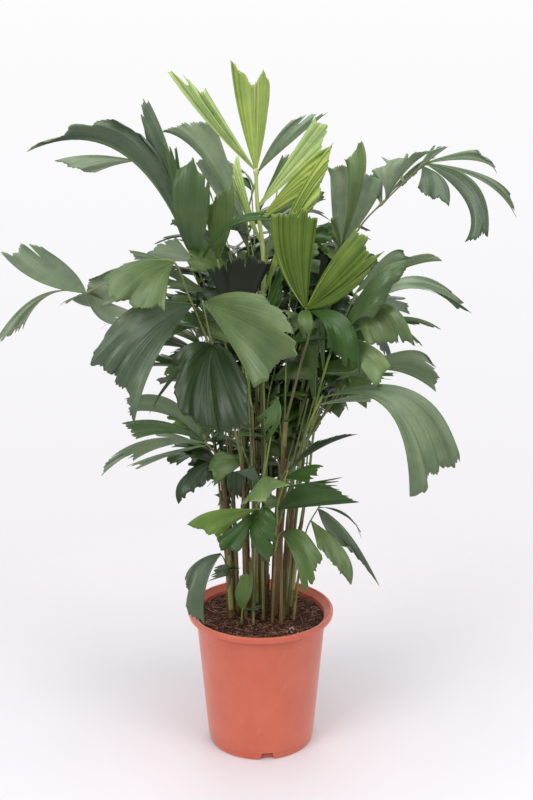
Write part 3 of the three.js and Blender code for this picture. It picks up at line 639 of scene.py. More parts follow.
# A leaflet is a place along the path, the tip of its long edge, the corner of its short edge and its form.
# In the form, via and side are points half way along the long and the short edge, bow the arch of a leaflet
# without via, fade how much of it the short edge loses, and bulge how far the margin swells. Margin gives its
# notches and lobes, as shares of the way from the long to the short edge and factors of the ray there.
fronds = [
    {"name": "frond_new", "cane": 6, "radius": [4.4, 2.6],
     "tones": "pale_new bright bright pale_new bright bright pale_new",
     "path": [[4, 830, -4], [-4, 895, -5], [-7, 956, -5]], "leaflets": [
        [1, [-138, 1098, -20], [-82, 1073, -30], {"via": [-76, 1020, -16], "fade": 0.9, "margin": [(0, 1),
            (0.17, 1.04), (0.22, 1.02), (0.3, 0.93), (0.4, 0.95), (0.46, 1.07), (0.57, 1.01), (0.63, 0.88),
            (0.86, 0.95), (1, 1.01)]}],
        [1, [-44, 1114, -5], [-8, 1084, 4], {"via": [-32, 1037, 0], "fade": 1, "margin": [(0, 1.01),
            (0.17, 1.02), (0.22, 0.98), (0.45, 0.97), (0.58, 0.99), (0.75, 0.96), (1, 0.97)]}],
        [1, [14, 1087, 12], [-7, 1084, 6], {"via": [9, 1022, 9], "fade": 1, "bulge": 0.13, "margin": [
            (0, 0.95), (0.05, 0.99), (0.3, 0.97), (0.53, 1.01), (0.7, 0.99), (1, 1)]}],
        [0.78, [84, 1034, -25], [100, 985, -35], {"bow": 0, "bulge": 0.1, "margin": [(0, 1), (0.08, 0.97),
            (0.24, 0.95), (0.45, 1), (0.66, 0.95), (0.76, 0.91), (1, 0.95)]}],
        [0.7, [108, 990, -40], [84, 917, -45], {"via": [60, 954, -38], "side": [50, 905, -40]}],
        [0.25, [110, 994, -46], [82, 894, -52], {"via": [48, 896, -42], "side": [47, 850, -44], "margin": [
            (0, 1), (0.24, 1.02), (0.5, 1.07), (0.6, 0.99), (1, 1)]}],
        [0.55, [-33, 978, -20], [-40, 920, -25], {"via": [-18, 906, -20], "fade": 0.7, "bulge": 0.08}],
    ]},
    {"name": "frond_top_back", "cane": 5, "radius": [3.2, 1.8],
     "tones": "sage pale pale fresh deep mid",
     "path": [[-16, 800, 42], [-20, 880, 48], [-2, 955, 50]], "leaflets": [
        [0.7, [-150, 1010, 44], [-70, 1024, 62], {"via": [-91, 975, 50], "fade": 0.6, "bulge": 0.02}],
        [0.6, [-98, 966, 70], [-40, 962, 80], {"bulge": 0.08}],
        [1, [102, 1039, 60], [48, 1028, 52], {"via": [50, 997, 54], "side": [21, 998, 50]}],
        [0.66, [52, 982, 30], [34, 976, 42], {}],
        [0.9, [-60, 965, 150], [-26, 950, 165], {"bow": 0.1}],
        [0.7, [50, 920, 160], [74, 900, 150], {"bow": 0.1}],
    ]},
    {"name": "frond_pleated", "cane": 8, "radius": [3.6, 2.8],
     "tones": "spring spring fresh leafy mid",
     "path": [[66, 660, -30], [76, 700, -42], [71, 742, -50]], "leaflets": [
        [1, [14, 893, -90], [88, 880, -96], {"via": [27, 812, -74], "bulge": 0.03, "fade": 0.9, "margin": [
            (0, 0.96), (0.3, 0.96), (0.54, 1.01), (0.72, 1.05), (0.85, 1), (1, 1.01)]}],
        [1, [145, 865, -84], [142, 770, -92], {"via": [100, 800, -74], "side": [113, 747, -80], "margin": [
            (0, 1), (0.13, 1.06), (0.32, 1.24), (0.34, 1.13), (0.48, 1.21), (0.6, 1.33), (0.64, 1.56),
            (0.69, 1.36), (0.83, 1.29), (1, 1)]}],
        [0.92, [50, 700, -72], [36, 738, -76], {}],
        [0.96, [158, 634, -104], [104, 676, -96], {"via": [138, 722, -96], "side": [98, 716, -90],
            "bulge": 0.1}],
        [0.98, [68, 690, -98], [84, 704, -94], {"via": [58, 724, -88], "side": [80, 728, -84],
            "bulge": 0.05}],
    ]},
    {"name": "frond_left_high", "cane": 3, "radius": [3.4, 1.6],
     "tones": "slate slate deep deep sage leafy olive fresh deep",
     "path": [[-82, 765, 12], [-112, 838, 8], [-150, 925, 14], [-190, 970, 24]], "leaflets": [
        [0.62, [-352, 978, -50], [-172, 992, -20], {"via": [-214, 980, -14], "bulge": 0.07, "fade": 0.7,
            "margin": [(0, 1), (0.31, 0.98), (0.43, 1.05), (0.52, 1.01), (0.76, 1.09), (0.84, 1.04),
            (0.98, 1.09), (1, 1.02)]}],
        [0.66, [-168, 1058, 0], [-184, 1030, -8], {"via": [-133, 965, -4], "fade": 0.6, "bulge": 0.04,
            "margin": [(0, 1), (0.2, 0.97), (0.3, 1.02), (0.5, 1), (0.6, 0.93), (0.75, 0.98), (0.86, 0.9),
            (1, 0.8)]}],
        [0.6, [-127, 988, -28], [-152, 1000, -24], {}],
        [0.54, [-125, 953, -60], [-80, 917, -48], {"via": [-132, 887, -58], "side": [-83, 868, -48],
            "margin": [(0, 1), (0.07, 1.04), (0.29, 1.15), (0.46, 1.3), (0.54, 1.27), (0.63, 1.18),
            (0.92, 1.16), (1, 1)]}],
        [1, [-313, 967, 45], [-250, 950, 30], {"via": [-255, 976, 34], "side": [-222, 960, 28], "margin": [
            (0, 1), (0.2, 0.93), (0.35, 1.02), (0.55, 0.94), (0.75, 1.04), (1, 1)]}],
        [0.52, [24, 872, -66], [12, 889, -62], {"via": [-46, 866, -70], "fade": 0.1}],
        [0.55, [-184, 812, 36], [-130, 852, 40], {}],
        [0.42, [-146, 772, 30], [-146, 812, 34], {}],
        [0.72, [-118, 905, 190], [-70, 930, 170], {"bow": 0.1}],
    ]},
    {"name": "frond_middle", "cane": 4, "radius": [3.0, 1.8],
     "tones": "mid shade leafy mid",
     "path": [[-38, 720, -16], [-66, 815, -14], [-76, 862, -10]], "leaflets": [
        [0.84, [-42, 934, -34], [-83, 901, -30], {"via": [-43, 875, -34], "side": [-80, 862, -30]}],
        [0.45, [18, 813, -30], [-84, 803, -46], {"bow": 0.03, "bulge": 0.04}],
        [0.3, [30, 806, -34], [26, 730, -30], {"bow": 0.04, "bulge": 0.1}],
        [0.36, [-104, 702, 0], [-96, 762, 8], {}],
    ]},
    {"name": "frond_left", "cane": 1, "radius": [3.6, 1.4],
     "tones": "fresh sage sage pale pale slate deep pale sage pale",
     "path": [[-76, 665, -18], [-110, 755, -30], [-138, 815, -32], [-205, 795, -26], [-275, 762, -20]],
     "leaflets": [
        [0.64, [-243, 786, -120], [-150, 731, -130], {"via": [-192, 815, -84], "bulge": 0.12, "fade": 0.5,
            "margin": [(0, 1), (0.09, 0.98), (0.22, 1.08), (0.35, 1.07), (0.42, 1.03), (0.48, 0.92),
            (0.57, 0.97), (0.75, 0.96), (0.83, 0.89), (0.92, 0.9), (1, 0.99)]}],
        [1, [-408, 832, -50], [-330, 836, -36], {"via": [-350, 785, -32], "side": [-290, 799, -26],
            "bulge": 0.04, "margin": [(0, 0.95), (0.08, 0.99), (0.15, 0.89), (0.31, 0.9), (0.51, 1),
            (0.88, 1), (1, 0.92)]}],
        [0.7, [-292, 751, -4], [-253, 794, 0], {"via": [-231, 749, 6], "side": [-211, 806, 6], "margin": [
            (0, 1), (0.33, 0.96), (0.68, 0.99), (1, 1)]}],
        [1, [-225, 713, 20], [-197, 734, 14], {"via": [-254, 726, 10], "side": [-243, 752, 10],
            "bulge": 0.06}],
        [1, [-424, 676, 60], [-372, 706, 44], {"via": [-353, 755, 30], "side": [-333, 758, 26]}],
        [0.47, [-260, 702, -120], [-200, 554, -150], {"via": [-186, 748, -112], "side": [-166, 656, -126],
            "bulge": 0.02, "margin": [(0, 0.86), (0.05, 0.95), (0.21, 1.05), (0.31, 1.08), (0.37, 0.98),
            (0.47, 0.94), (0.53, 0.89), (0.61, 0.94), (0.69, 0.92), (0.8, 0.93), (0.94, 1), (1, 1.02)]}],
        [0.33, [-178, 568, -80], [-163, 596, -70], {"via": [-149, 611, -60], "side": [-138, 634, -56]}],
        [0.66, [-240, 792, 40], [-212, 809, 46], {}],
        [0.68, [-202, 832, 30], [-196, 816, 34], {}],
        [0.98, [-313, 744, 20], [-294, 752, 16], {}],
    ]},
    {"name": "frond_left_low", "cane": 0, "radius": [3.6, 2.0],
     "tones": "deep sage sage dark olive pale dark dark olive",
     "path": [[-66, 492, -20], [-90, 522, -34]], "leaflets": [
        [1, [-222, 551, -60], [-200, 524, -82], {"via": [-152, 555, -46], "fade": 0.3}],
        [1, [-258, 464, -86], [-226, 507, -80], {"via": [-180, 514, -70], "fade": 0.5, "bulge": 0.05}],
        [0.9, [-217, 480, -30], [-200, 475, -36], {"via": [-152, 504, -32], "fade": 0.3}],
        [0.8, [-160, 501, 20], [-148, 492, 24], {}],
        [0.96, [-236, 500, -96], [-206, 489, -90], {"via": [-168, 528, -74], "fade": 0.4}],
        [0.7, [-182, 541, 10], [-150, 520, 6], {"via": [-130, 532, 0], "fade": 0.4}],
        [0.55, [-134, 415, -84], [-80, 458, -66], {"via": [-128, 460, -66], "fade": 0.9, "bulge": -0.1}],
        [0.4, [-100, 560, 40], [-120, 500, 50], {"bow": 0.1}],
        [0.9, [-217, 593, -20], [-212, 570, -16], {"via": [-141, 591, -10], "side": [-145, 565, -10]}],
    ]},
    {"name": "frond_front", "cane": 2, "radius": [3.6, 2.2],
     "tones": "fresh dark dark",
     "path": [[-58, 620, -56], [-78, 690, -74], [-90, 752, -84]], "leaflets": [
        [1, [-8, 612, -200], [10, 766, -160], {"via": [-47, 685, -156], "side": [-42, 766, -136],
            "bulge": 0.26, "margin": [(0, 1), (0.12, 0.99), (0.23, 0.93), (0.35, 0.95), (0.46, 1.11),
            (0.65, 1.06), (0.7, 1.03), (0.75, 1.03), (0.84, 0.92), (0.95, 0.95), (1, 0.93)]}],
        [0.74, [-62, 530, -170], [-150, 652, -140], {"via": [-78, 606, -142], "side": [-116, 682, -116],
            "bulge": 0.17, "margin": [(0, 1.02), (0.07, 0.95), (0.23, 0.94), (0.35, 0.91), (0.46, 0.98),
            (0.55, 0.87), (0.7, 0.71), (0.92, 0.74), (1, 0.84)]}],
        [0.74, [-61, 531, -172], [-22, 634, -152], {"via": [-76, 606, -144], "side": [-46, 668, -122],
            "bulge": 0.5, "margin": [(0, 1.01), (0.07, 0.89), (0.21, 0.83), (0.35, 0.85), (0.51, 0.91),
            (0.61, 0.81), (0.73, 0.78), (1, 0.81)]}],
    ]},
    {"name": "frond_centre", "cane": 15, "radius": [2.4, 1.6],
     "tones": "lime soft dark",
     "path": [[8, 480, -66], [18, 540, -72], [28, 596, -76]], "leaflets": [
        [1, [10, 521, -112], [-6, 562, -105], {"via": [32, 560, -96], "fade": 1}],
        [0.3, [-32, 413, -112], [45, 453, -118], {}],
        [0.2, [-47, 420, -60], [-12, 428, -58], {"via": [-50, 470, -60], "side": [-14, 480, -58]}],
    ]},
    {"name": "frond_skirt", "cane": 7, "radius": [2.6, 1.8],
     "tones": "apple leafy leafy",
     "path": [[1, 404, -60], [-12, 406, -72]], "leaflets": [
        [1, [-121, 379, -90], [-68, 353, -96], {"via": [-78, 404, -84], "side": [-54, 374, -86], "margin": [
            (0, 1), (0.19, 0.95), (0.3, 0.9), (0.6, 0.96), (0.64, 0.88), (1, 1)]}],
        [0.8, [-80, 350, -108], [-38, 327, -112], {"bow": 0.08, "bulge": 0.1, "margin": [(0, 0.91),
            (0.24, 0.91), (0.4, 0.96), (0.6, 0.88), (0.93, 0.97), (1, 0.85)]}],
        [0.5, [17, 307, -112], [25, 400, -104], {"via": [-18, 360, -100], "side": [4, 411, -96], "margin": [
            (0, 0.97), (0.15, 0.94), (0.42, 1.04), (0.63, 0.94), (1, 1)]}],
    ]},
    {"name": "frond_rim", "cane": 0, "level": 0.3, "radius": [2.0, 1.3],
     "tones": "slate slate dark",
     "path": [[-60, 318, -44], [-67, 330, -66]], "leaflets": [
        [1, [-94, 203, -108], [-117, 296, -92], {"via": [-90, 272, -98], "side": [-98, 320, -84],
            "bulge": 0.06, "margin": [(0, 1), (0.09, 1.02), (0.4, 1.11), (0.68, 1.01), (0.88, 1.05),
            (1, 1.08)]}],
        [0.1, [-89, 279, -56], [-77, 305, -54], {"via": [-61, 289, -52], "side": [-54, 309, -50]}],
        [0.3, [-34, 302, -62], [-42, 309, -58], {}],
    ]},
    {"name": "frond_sprout", "cane": 16, "radius": [2.4, 1.6],
     "tones": "mid dark",
     "path": [[-31, 226, -54], [-30, 232, -55]], "leaflets": [
        [1, [-15, 303, -58], [-40, 276, -50], {"via": [-14, 264, -62], "side": [-42, 250, -54],
            "bulge": 0.04}],
        [1, [14, 241, -66], [0, 228, -64], {}],
    ]},
    {"name": "frond_right_high", "cane": 10, "radius": [3.4, 1.6],
     "tones": "sage sage slate sage sage slate slate sage slate slate",
     "path": [[112, 745, 12], [150, 862, 4], [195, 912, 2], [252, 966, 0]], "leaflets": [
        [0.82, [282, 989, -10], [169, 952, -20], {"via": [230, 959, -10], "side": [187, 931, -18], "margin": [
            (0, 1), (0.06, 0.9), (0.17, 0.85), (0.25, 0.84), (0.37, 0.74), (0.58, 0.81), (0.73, 0.8),
            (1, 1)]}],
        [0.8, [266, 971, 16], [216, 929, 18], {"via": [230, 956, 14], "side": [207, 926, 16]}],
        [0.95, [284, 989, 16], [262, 991, 20], {}],
        [1, [361, 949, 8], [329, 977, -6], {"via": [324, 968, 2], "side": [311, 982, 0]}],
        [1, [392, 881, 60], [381, 917, 52], {"via": [340, 935, 32], "side": [337, 947, 32]}],
        [1, [353, 848, -70], [313, 847, -62], {"via": [330, 931, -46], "side": [314, 905, -40], "bulge": 0.03,
            "margin": [(0, 0.97), (0.18, 0.94), (0.53, 0.98), (0.87, 1.01), (1, 1.02)]}],
        [0.98, [286, 898, -50], [240, 927, -44], {"via": [282, 936, -26], "bulge": 0.06, "fade": 0.9,
            "margin": [(0, 1.01), (0.12, 0.98), (0.2, 0.86), (0.36, 0.9), (0.5, 0.91), (0.7, 1.08),
            (0.89, 1.06), (1, 0.9)]}],
        [0.9, [182, 971, 40], [212, 966, 46], {}],
        [0.8, [154, 942, 50], [178, 952, 46], {"bow": 0}],
        [0.8, [205, 962, 120], [176, 944, 120], {"bow": 0.1}],
    ]},
    {"name": "frond_right_back", "cane": 9, "radius": [3.2, 1.8],
     "tones": "soft pale sage pale soft dark deep",
     "path": [[84, 740, 34], [112, 800, 36], [126, 838, 36]], "leaflets": [
        [1, [153, 998, 30], [127, 971, 34], {"via": [158, 938, 28], "side": [134, 923, 30], "margin": [(0, 1),
            (0.25, 1.01), (0.31, 0.96), (0.86, 0.95), (1, 1)]}],
        [0.96, [133, 965, 62], [101, 956, 66], {"via": [143, 908, 62], "side": [114, 911, 66]}],
        [1, [181, 940, 12], [157, 950, 14], {"via": [176, 908, 12], "side": [149, 908, 14]}],
        [0.9, [132, 963, 100], [105, 951, 110], {}],
        [0.98, [95, 868, 0], [119, 890, -4], {}],
        [0.5, [108, 832, 10], [84, 838, 20], {}],
        [0.86, [158, 822, 120], [110, 850, 110], {"bow": 0.12}],
    ]},
    {"name": "frond_right", "cane": 11, "radius": [3.6, 2.0],
     "tones": "olive pale fresh deep soft olive fresh deep mid fresh",
     "path": [[106, 655, -18], [126, 712, -26], [150, 768, -26]], "leaflets": [
        [1, [281, 814, -34], [221, 830, -22], {"via": [224, 803, -24], "side": [192, 821, -22], "margin": [
            (0, 1), (0.14, 1.04), (0.37, 1.04), (0.47, 0.88), (0.73, 0.86), (1, 1)]}],
        [0.72, [328, 728, -84], [298, 766, -74], {"via": [222, 770, -74], "side": [210, 785, -60], "margin": [
            (0, 1), (0.3, 0.95), (0.45, 1.03), (0.7, 0.94), (1, 1)]}],
        [0.74, [243, 681, -130], [168, 680, -126], {"via": [194, 748, -104], "bulge": -0.08, "fade": 0.6,
            "margin": [(0, 1), (0.14, 1), (0.32, 1.02), (0.45, 0.97), (0.77, 0.98), (0.95, 1.04), (1, 1)]}],
        [0.7, [283, 706, -6], [246, 714, 0], {"via": [208, 726, -8], "fade": 0.6}],
        [0.74, [184, 612, -112], [207, 650, -104], {"via": [145, 662, -90], "side": [178, 678, -90],
            "margin": [(0, 1), (0.23, 1.02), (0.54, 0.98), (0.88, 1), (1, 0.92)]}],
        [0.4, [279, 604, -20], [268, 656, -14], {"via": [192, 641, -16], "side": [213, 669, -14],
            "bulge": 0.05}],
        [0.5, [218, 636, -66], [210, 624, -62], {}],
        [0.6, [227, 808, -112], [174, 724, -122], {"via": [167, 778, -112], "side": [148, 718, -112],
            "bulge": 0.14}],
        [0.3, [96, 735, 10], [58, 700, 24], {}],
        [0.5, [88, 706, -4], [102, 750, 0], {}],
    ]},
    {"name": "frond_broad", "cane": 12, "radius": [3.6, 2.4],
     "tones": "olive pale",
     "path": [[74, 540, -46], [98, 598, -54]], "leaflets": [
        [1, [238, 430, -176], [324, 506, -160], {"via": [199, 579, -140], "bulge": 0.06, "fade": 0.12,
            "margin": [(0, 1.02), (0.14, 1.03), (0.18, 1.04), (0.28, 0.95), (0.48, 0.93), (0.53, 0.96),
            (0.64, 0.94), (0.73, 1), (0.86, 0.99), (1, 0.97)]}],
        [0.9, [196, 600, -70], [176, 588, -84], {"bow": 0.06}],
    ]},
    {"name": "frond_right_low", "cane": 14, "radius": [2.8, 1.8],
     "tones": "dark leafy mid leafy",
     "path": [[28, 416, -58], [36, 446, -62], [44, 474, -64]], "leaflets": [
        [1, [156, 534, -70], [88, 521, -60], {"via": [96, 511, -62], "fade": 0.7}],
        [0.86, [102, 480, -110], [80, 450, -116], {"via": [74, 481, -90], "bulge": 0.02, "fade": 0.9}],
        [0.7, [133, 462, -86], [124, 447, -88], {}],
        [0.28, [160, 418, -130], [114, 446, -120], {"via": [90, 412, -96], "side": [66, 449, -90]}],
    ]},
    {"name": "frond_small", "cane": 13, "radius": [2.2, 1.4],
     "tones": "slate slate fresh",
     "path": [[76, 374, -48], [96, 413, -52]], "leaflets": [
        [1, [168, 357, -46], [158, 376, -42], {"via": [138, 400, -46], "side": [128, 400, -46]}],
        [0.94, [199, 273, -96], [147, 336, -84], {"via": [141, 369, -78], "side": [113, 362, -70], "margin": [
            (0, 1), (0.12, 0.84), (0.25, 0.8), (0.5, 0.88), (0.7, 0.84), (1, 1)]}],
        [0.7, [153, 267, -128], [96, 341, -118], {"via": [139, 331, -112], "side": [88, 364, -90],
            "bulge": -0.05, "margin": [(0, 0.93), (0.1, 1.03), (0.2, 0.93), (0.3, 1.02), (0.45, 0.98),
            (0.63, 1.06), (0.8, 0.97), (1, 1)]}],
    ]},
    {"name": "frond_low", "cane": 14, "level": 0.74, "radius": [2.2, 1.6],
     "tones": "mid",
     "path": [[30, 362, -66], [36, 368, -72]], "leaflets": [
        [1, [69, 255, -128], [106, 340, -120], {"via": [57, 312, -112], "side": [72, 368, -98], "bulge": 0.06,
            "margin": [(0, 0.99), (0.19, 0.97), (0.37, 0.95), (0.51, 0.88), (0.63, 0.9), (0.77, 0.98),
            (0.86, 0.91), (1, 0.8)]}],
    ]},
    {"name": "frond_inner", "cane": 24, "radius": [3.2, 1.8],
     "tones": "shade soft dark deep shade dark",
     "path": [[0, 640, 104], [10, 710, 108], [16, 760, 110]], "leaflets": [
        [1, [-26, 792, 110], [8, 804, 116], {}],
        [0.9, [74, 806, 96], [56, 770, 100], {}],
        [0.8, [-78, 742, 82], [-48, 700, 90], {}],
        [0.7, [100, 712, 80], [70, 664, 84], {}],
        [0.5, [-66, 640, 120], [-40, 590, 124], {}],
        [0.4, [66, 640, 62], [44, 566, 66], {}],
    ]},
]

farFronds = [  # cane, level, bearing from +X, the stalk's rise, reach and sag, pairs, leaflets' length
    [17, 1.0, 128, 200, 140, 20, 2, 125], [18, 1.0, 106, 280, 170, 30, 3, 130],
    [19, 1.0, 56, 264, 156, 10, 3, 112], [20, 1.0, 36, 230, 150, 40, 3, 130],
    [21, 1.0, 66, 150, 110, 20, 2, 105], [22, 1.0, 102, 120, 110, 20, 2, 85],
    [23, 1.0, 90, 110, 130, 30, 2, 85], [20, 0.6, 88, 190, 200, 50, 2, 130],
]
farLeaf = {
    "from": 0.42, "over": 0.54, "length": (0.8, 0.3),  # of the stalk; least and more of the leaflets' length
    "forward": 0.75, "rise": 0.25, "droop": 0.16, "endDroop": 0.3,
    "earAlong": 0.6, "earOut": 0.36, "lean": 0.6, "bow": 0.11, "bulge": 0.06,
    "morePairs": 1, "radius": [3.0, 1.6], "tones": "deep mid dark leafy slate deep dark mid",
}

innerFronds = [  # cane, level, x, y, z of its end, length and number of its leaflets
    [9, 0.70, 20, 62, 640, 100, 5], [27, 0.80, 48, 72, 690, 105, 5], [20, 0.75, 84, 62, 645, 95, 5],
    [27, 0.60, 22, 44, 560, 85, 5], [10, 0.70, 54, 48, 575, 56, 5], [3, 0.75, -30, 60, 650, 100, 5],
    [3, 0.60, -48, 52, 585, 90, 5], [5, 0.80, 4, 88, 725, 110, 5], [9, 0.85, 62, 88, 742, 110, 5],
    [10, 0.85, 104, 60, 700, 105, 5], [5, 0.92, -22, 70, 785, 105, 5], [6, 0.85, 42, 62, 805, 100, 5],
    [9, 0.95, 92, 50, 785, 105, 5], [22, 0.85, -104, 44, 600, 95, 5], [17, 0.80, -118, 52, 665, 100, 5],
    [17, 0.90, -92, 62, 722, 105, 5], [1, 0.90, -72, 40, 780, 95, 5], [22, 0.60, -88, 26, 575, 70, 5],
    [21, 0.80, 104, 40, 668, 80, 5], [21, 0.90, 134, 50, 684, 95, 5], [10, 0.95, 116, 60, 770, 78, 5],
    [9, 0.98, 96, 56, 845, 95, 5], [1, 0.50, -56, 30, 510, 65, 5], [18, 0.55, -22, 48, 500, 75, 5],
    [23, 0.80, 16, 66, 500, 70, 5], [20, 0.50, 24, 60, 500, 52, 5], [0, 0.60, -30, 30, 460, 50, 3],
    [11, 0.60, 38, 34, 520, 48, 5], [4, 0.95, -62, 40, 862, 90, 5], [6, 0.90, -20, 36, 862, 90, 5],
    [6, 0.95, 50, 44, 882, 90, 5], [9, 0.90, 70, 44, 890, 70, 5], [6, 0.97, 30, 34, 940, 70, 3],
    [12, 0.60, 28, -6, 490, 42, 3], [26, 0.70, -30, -10, 520, 65, 5], [8, 0.75, 30, 6, 560, 80, 5],
    [4, 0.98, -80, 64, 915, 80, 5], [5, 0.98, -14, 56, 920, 75, 5], [10, 0.98, 126, 50, 845, 72, 5],
    [9, 0.96, 136, 56, 795, 85, 5], [8, 0.90, 48, 30, 775, 85, 5], [1, 0.96, -118, 50, 812, 90, 5],
    [17, 0.96, -108, 34, 705, 85, 5], [24, 0.50, -20, 60, 470, 60, 5], [19, 0.50, 6, 60, 452, 56, 5],
    [19, 0.90, 26, 72, 592, 90, 5], [18, 0.85, -8, 74, 620, 90, 5], [20, 0.70, 54, 60, 612, 76, 5],
    [24, 0.70, -4, 70, 556, 76, 5], [3, 0.90, -20, 30, 700, 90, 5], [6, 0.60, 24, 30, 640, 80, 5],
    [24, 0.40, -36, 44, 436, 46, 3], [19, 0.70, 22, 50, 530, 62, 5], [18, 0.45, -44, 36, 455, 48, 5],
]
innerLeaf = {
    "from": 0.5, "over": 0.44, "length": (0.75, 0.5),
    "forward": 0.5, "rise": 0.5, "droop": 0.38, "endDroop": 0.8,
    "earAlong": 0.58, "earOut": 0.42, "lean": 1.3, "bow": 0.12, "bulge": 0.1, "grain": 2.0,
    "radius": [2.1, 1.3], "tones": "deep mid dark leafy mid fresh deep dark",
}

looseStalks = [  # cane, level, x, y, z of the end: the bare stalks that fan out from the clump
    [25, 1.0, 134, -40, 616], [25, 0.96, 124, -30, 610], [25, 0.9, 110, -36, 606], [14, 0.98, 100, -50, 600],
    [14, 0.92, 86, -40, 596], [25, 0.8, 76, -30, 594], [8, 0.7, 84, 10, 640], [0, 0.5, -76, -10, 520],
    [1, 0.5, -62, 0, 600], [2, 0.8, -40, -40, 600], [26, 0.8, -20, -50, 610], [15, 0.8, 10, -60, 520],
]

leafShape = {
    "root": 1.2, "sink": 3.5,  # half the leaflet's width at its root; how far the last root lies back
    "bow": 0.03, "fade": 0.5, "thickness": 0.55,
    "columnEvery": 1.6, "rowEvery": 7.5,  # millimetres of margin and of reach to one face, where grain is 1
    "columns": (12, 100), "rows": (6, 22), "pleatWarp": 0.5,
    "across": 0.03, "along": 0.04, "rootShare": 0.12,  # steps that feel out a normal, never at the root
    "waveWidth": 90.0, "rippleEvery": 34.0, "frillEvery": 15.0,
    # Every, depth, least share of it, unevenness, share of it left where a leaflet has its own margin, seed.
    "bites": ((26.0, 8.5, 0.12, 0.55, 0.4, 3.0), (7.0, 4.6, 0.45, 1.3, 0.9, 5.0)),
    "nibble": (1.4, 0.5), "deepest": 0.3,  # every, depth; the share of the reach that no bite passes
    "splits": {"tries": 2, "marked": 0.15, "plain": 0.4, "half": 2.6, "depth": (9, 18)},
}


def caneCurve(row):
    footX, footY, tipX, tipY, tipZ = row[:5]
    foot, tip = np.array((footX, footY, soilShape["level"] + clearance)), np.array((tipX, tipY, tipZ))
    middle = (foot + tip) / 2
    middle[:2] = foot[:2] + (tip[:2] - foot[:2]) * 0.3
    t = np.linspace(0, 1, 161)[:, None]
    return (1 - t) ** 2 * foot + 2 * t * (1 - t) * middle + t ** 2 * tip


def onCane(index, level=1.0):
    return pointAt(caneCurve(canes[index]), np.array(level))


def throughPoints(points):
    # A centripetal Catmull-Rom curve through points.
    points = np.array([2 * points[0] - points[1], *points, 2 * points[-1] - points[-2]])
    w = np.linspace(0, 1, 41)[:, None]
    parts = [points[1:2]]
    for p0, p1, p2, p3 in zip(points, points[1:], points[2:], points[3:]):
        d0, d1, d2 = (math.sqrt(np.linalg.norm(b - a)) for a, b in ((p0, p1), (p1, p2), (p2, p3)))
        m1 = d1 * ((p1 - p0) / d0 - (p2 - p0) / (d0 + d1) + (p2 - p1) / d1)
        m2 = d1 * ((p2 - p1) / d1 - (p3 - p1) / (d1 + d2) + (p3 - p2) / d2)
        run = p1 + m1 * w + (3 * (p2 - p1) - 2 * m1 - m2) * w ** 2 + (2 * (p1 - p2) + m1 + m2) * w ** 3
        parts.append(run[1:])
    return np.concatenate(parts)


def seen(place):
    # x and z where the place is seen on the upright plane through the pot's axis, and its depth behind it.
    x, z, depth = place
    return eye + (np.array((x, 0.0, z)) - eye) * (1 - depth / eye[1])


def leafOf(base, tip, ear, form, seed):
    long, short = tip - base, ear - base
    normal = unit(np.cross(long, short))
    if normal[2] < 0:
        normal = -normal
    if "via" in form:
        longArch = seen(form["via"]) - (base + tip) / 2
    else:
        longArch = normal * form.get("bow", leafShape["bow"]) * np.linalg.norm(long)
    shortArch = longArch * (1 - form.get("fade", leafShape["fade"]))
    if "side" in form:
        shortArch = seen(form["side"]) - (base + ear) / 2
    return {"base": base, "tip": tip, "ear": ear, "longArch": longArch, "shortArch": shortArch,
            "bulge": form.get("bulge", 0.0), "margin": form.get("margin"), "grain": form.get("grain", 1.0),
            "width": np.linalg.norm(tip - ear), "reach": np.linalg.norm(tip - base), "seed": seed}


def leafPoint(leaf, a, u):
    # The blade's middle surface on ray a (0 long edge, 1 short edge) at share u of its length.
    a, u = a[:, None], u[:, None]
    base = leaf["base"]
    long, short = leaf["tip"] - base, leaf["ear"] - base
    far, near = np.linalg.norm(long), np.linalg.norm(short)
    spread = math.acos(np.clip(long @ short / (far * near), -1, 1))
    ray = unit(long / far * np.sin((1 - a) * spread) + short / near * np.sin(a * spread))
    length = (far + (near - far) * a) * (1 + leaf["bulge"] * np.sin(math.pi * a))
    if leaf["margin"]:
        length = length * np.interp(a, *zip(*leaf["margin"]))
    margin = base + ray * length
    bend = 2 * (leaf["longArch"] + (leaf["shortArch"] - leaf["longArch"]) * a)
    middle = (base + margin) / 2 + bend
    root = base + unit(long - short) * leafShape["root"] * (1 - 2 * a)
    return (1 - u) ** 2 * root + 2 * u * (1 - u) * middle + u ** 2 * margin


def leafNormal(leaf, a, u):
    across, along = leafShape["across"], leafShape["along"]
    low = np.clip(u, leafShape["rootShare"], 1)
    da = leafPoint(leaf, np.clip(a + across, 0, 1), low) - leafPoint(leaf, np.clip(a - across, 0, 1), low)
    du = leafPoint(leaf, a, low + along) - leafPoint(leaf, a, low - along)
    return unit(np.cross(da, du))


def laidFrond(row, seed):
    # A frond laid out a leaflet at a time: its path, then its leaflets.
    curve = throughPoints([onCane(row["cane"], row.get("level", 1.0))] + [seen(p) for p in row["path"]])
    last = 1 - leafShape["sink"] / lengthOf(curve)
    leaves = []
    for i, ((t, tip, ear, form), tone) in enumerate(zip(row["leaflets"], row["tones"].split())):
        base = pointAt(curve, np.array(min(t, last)))
        leaf = leafOf(base, seen(tip), seen(ear), form, seed + 7 * i)
        leaves.append({**leaf, "tone": tone, "share": t, "faces": eye})
    return {**row, "curve": curve, "leaves": leaves}


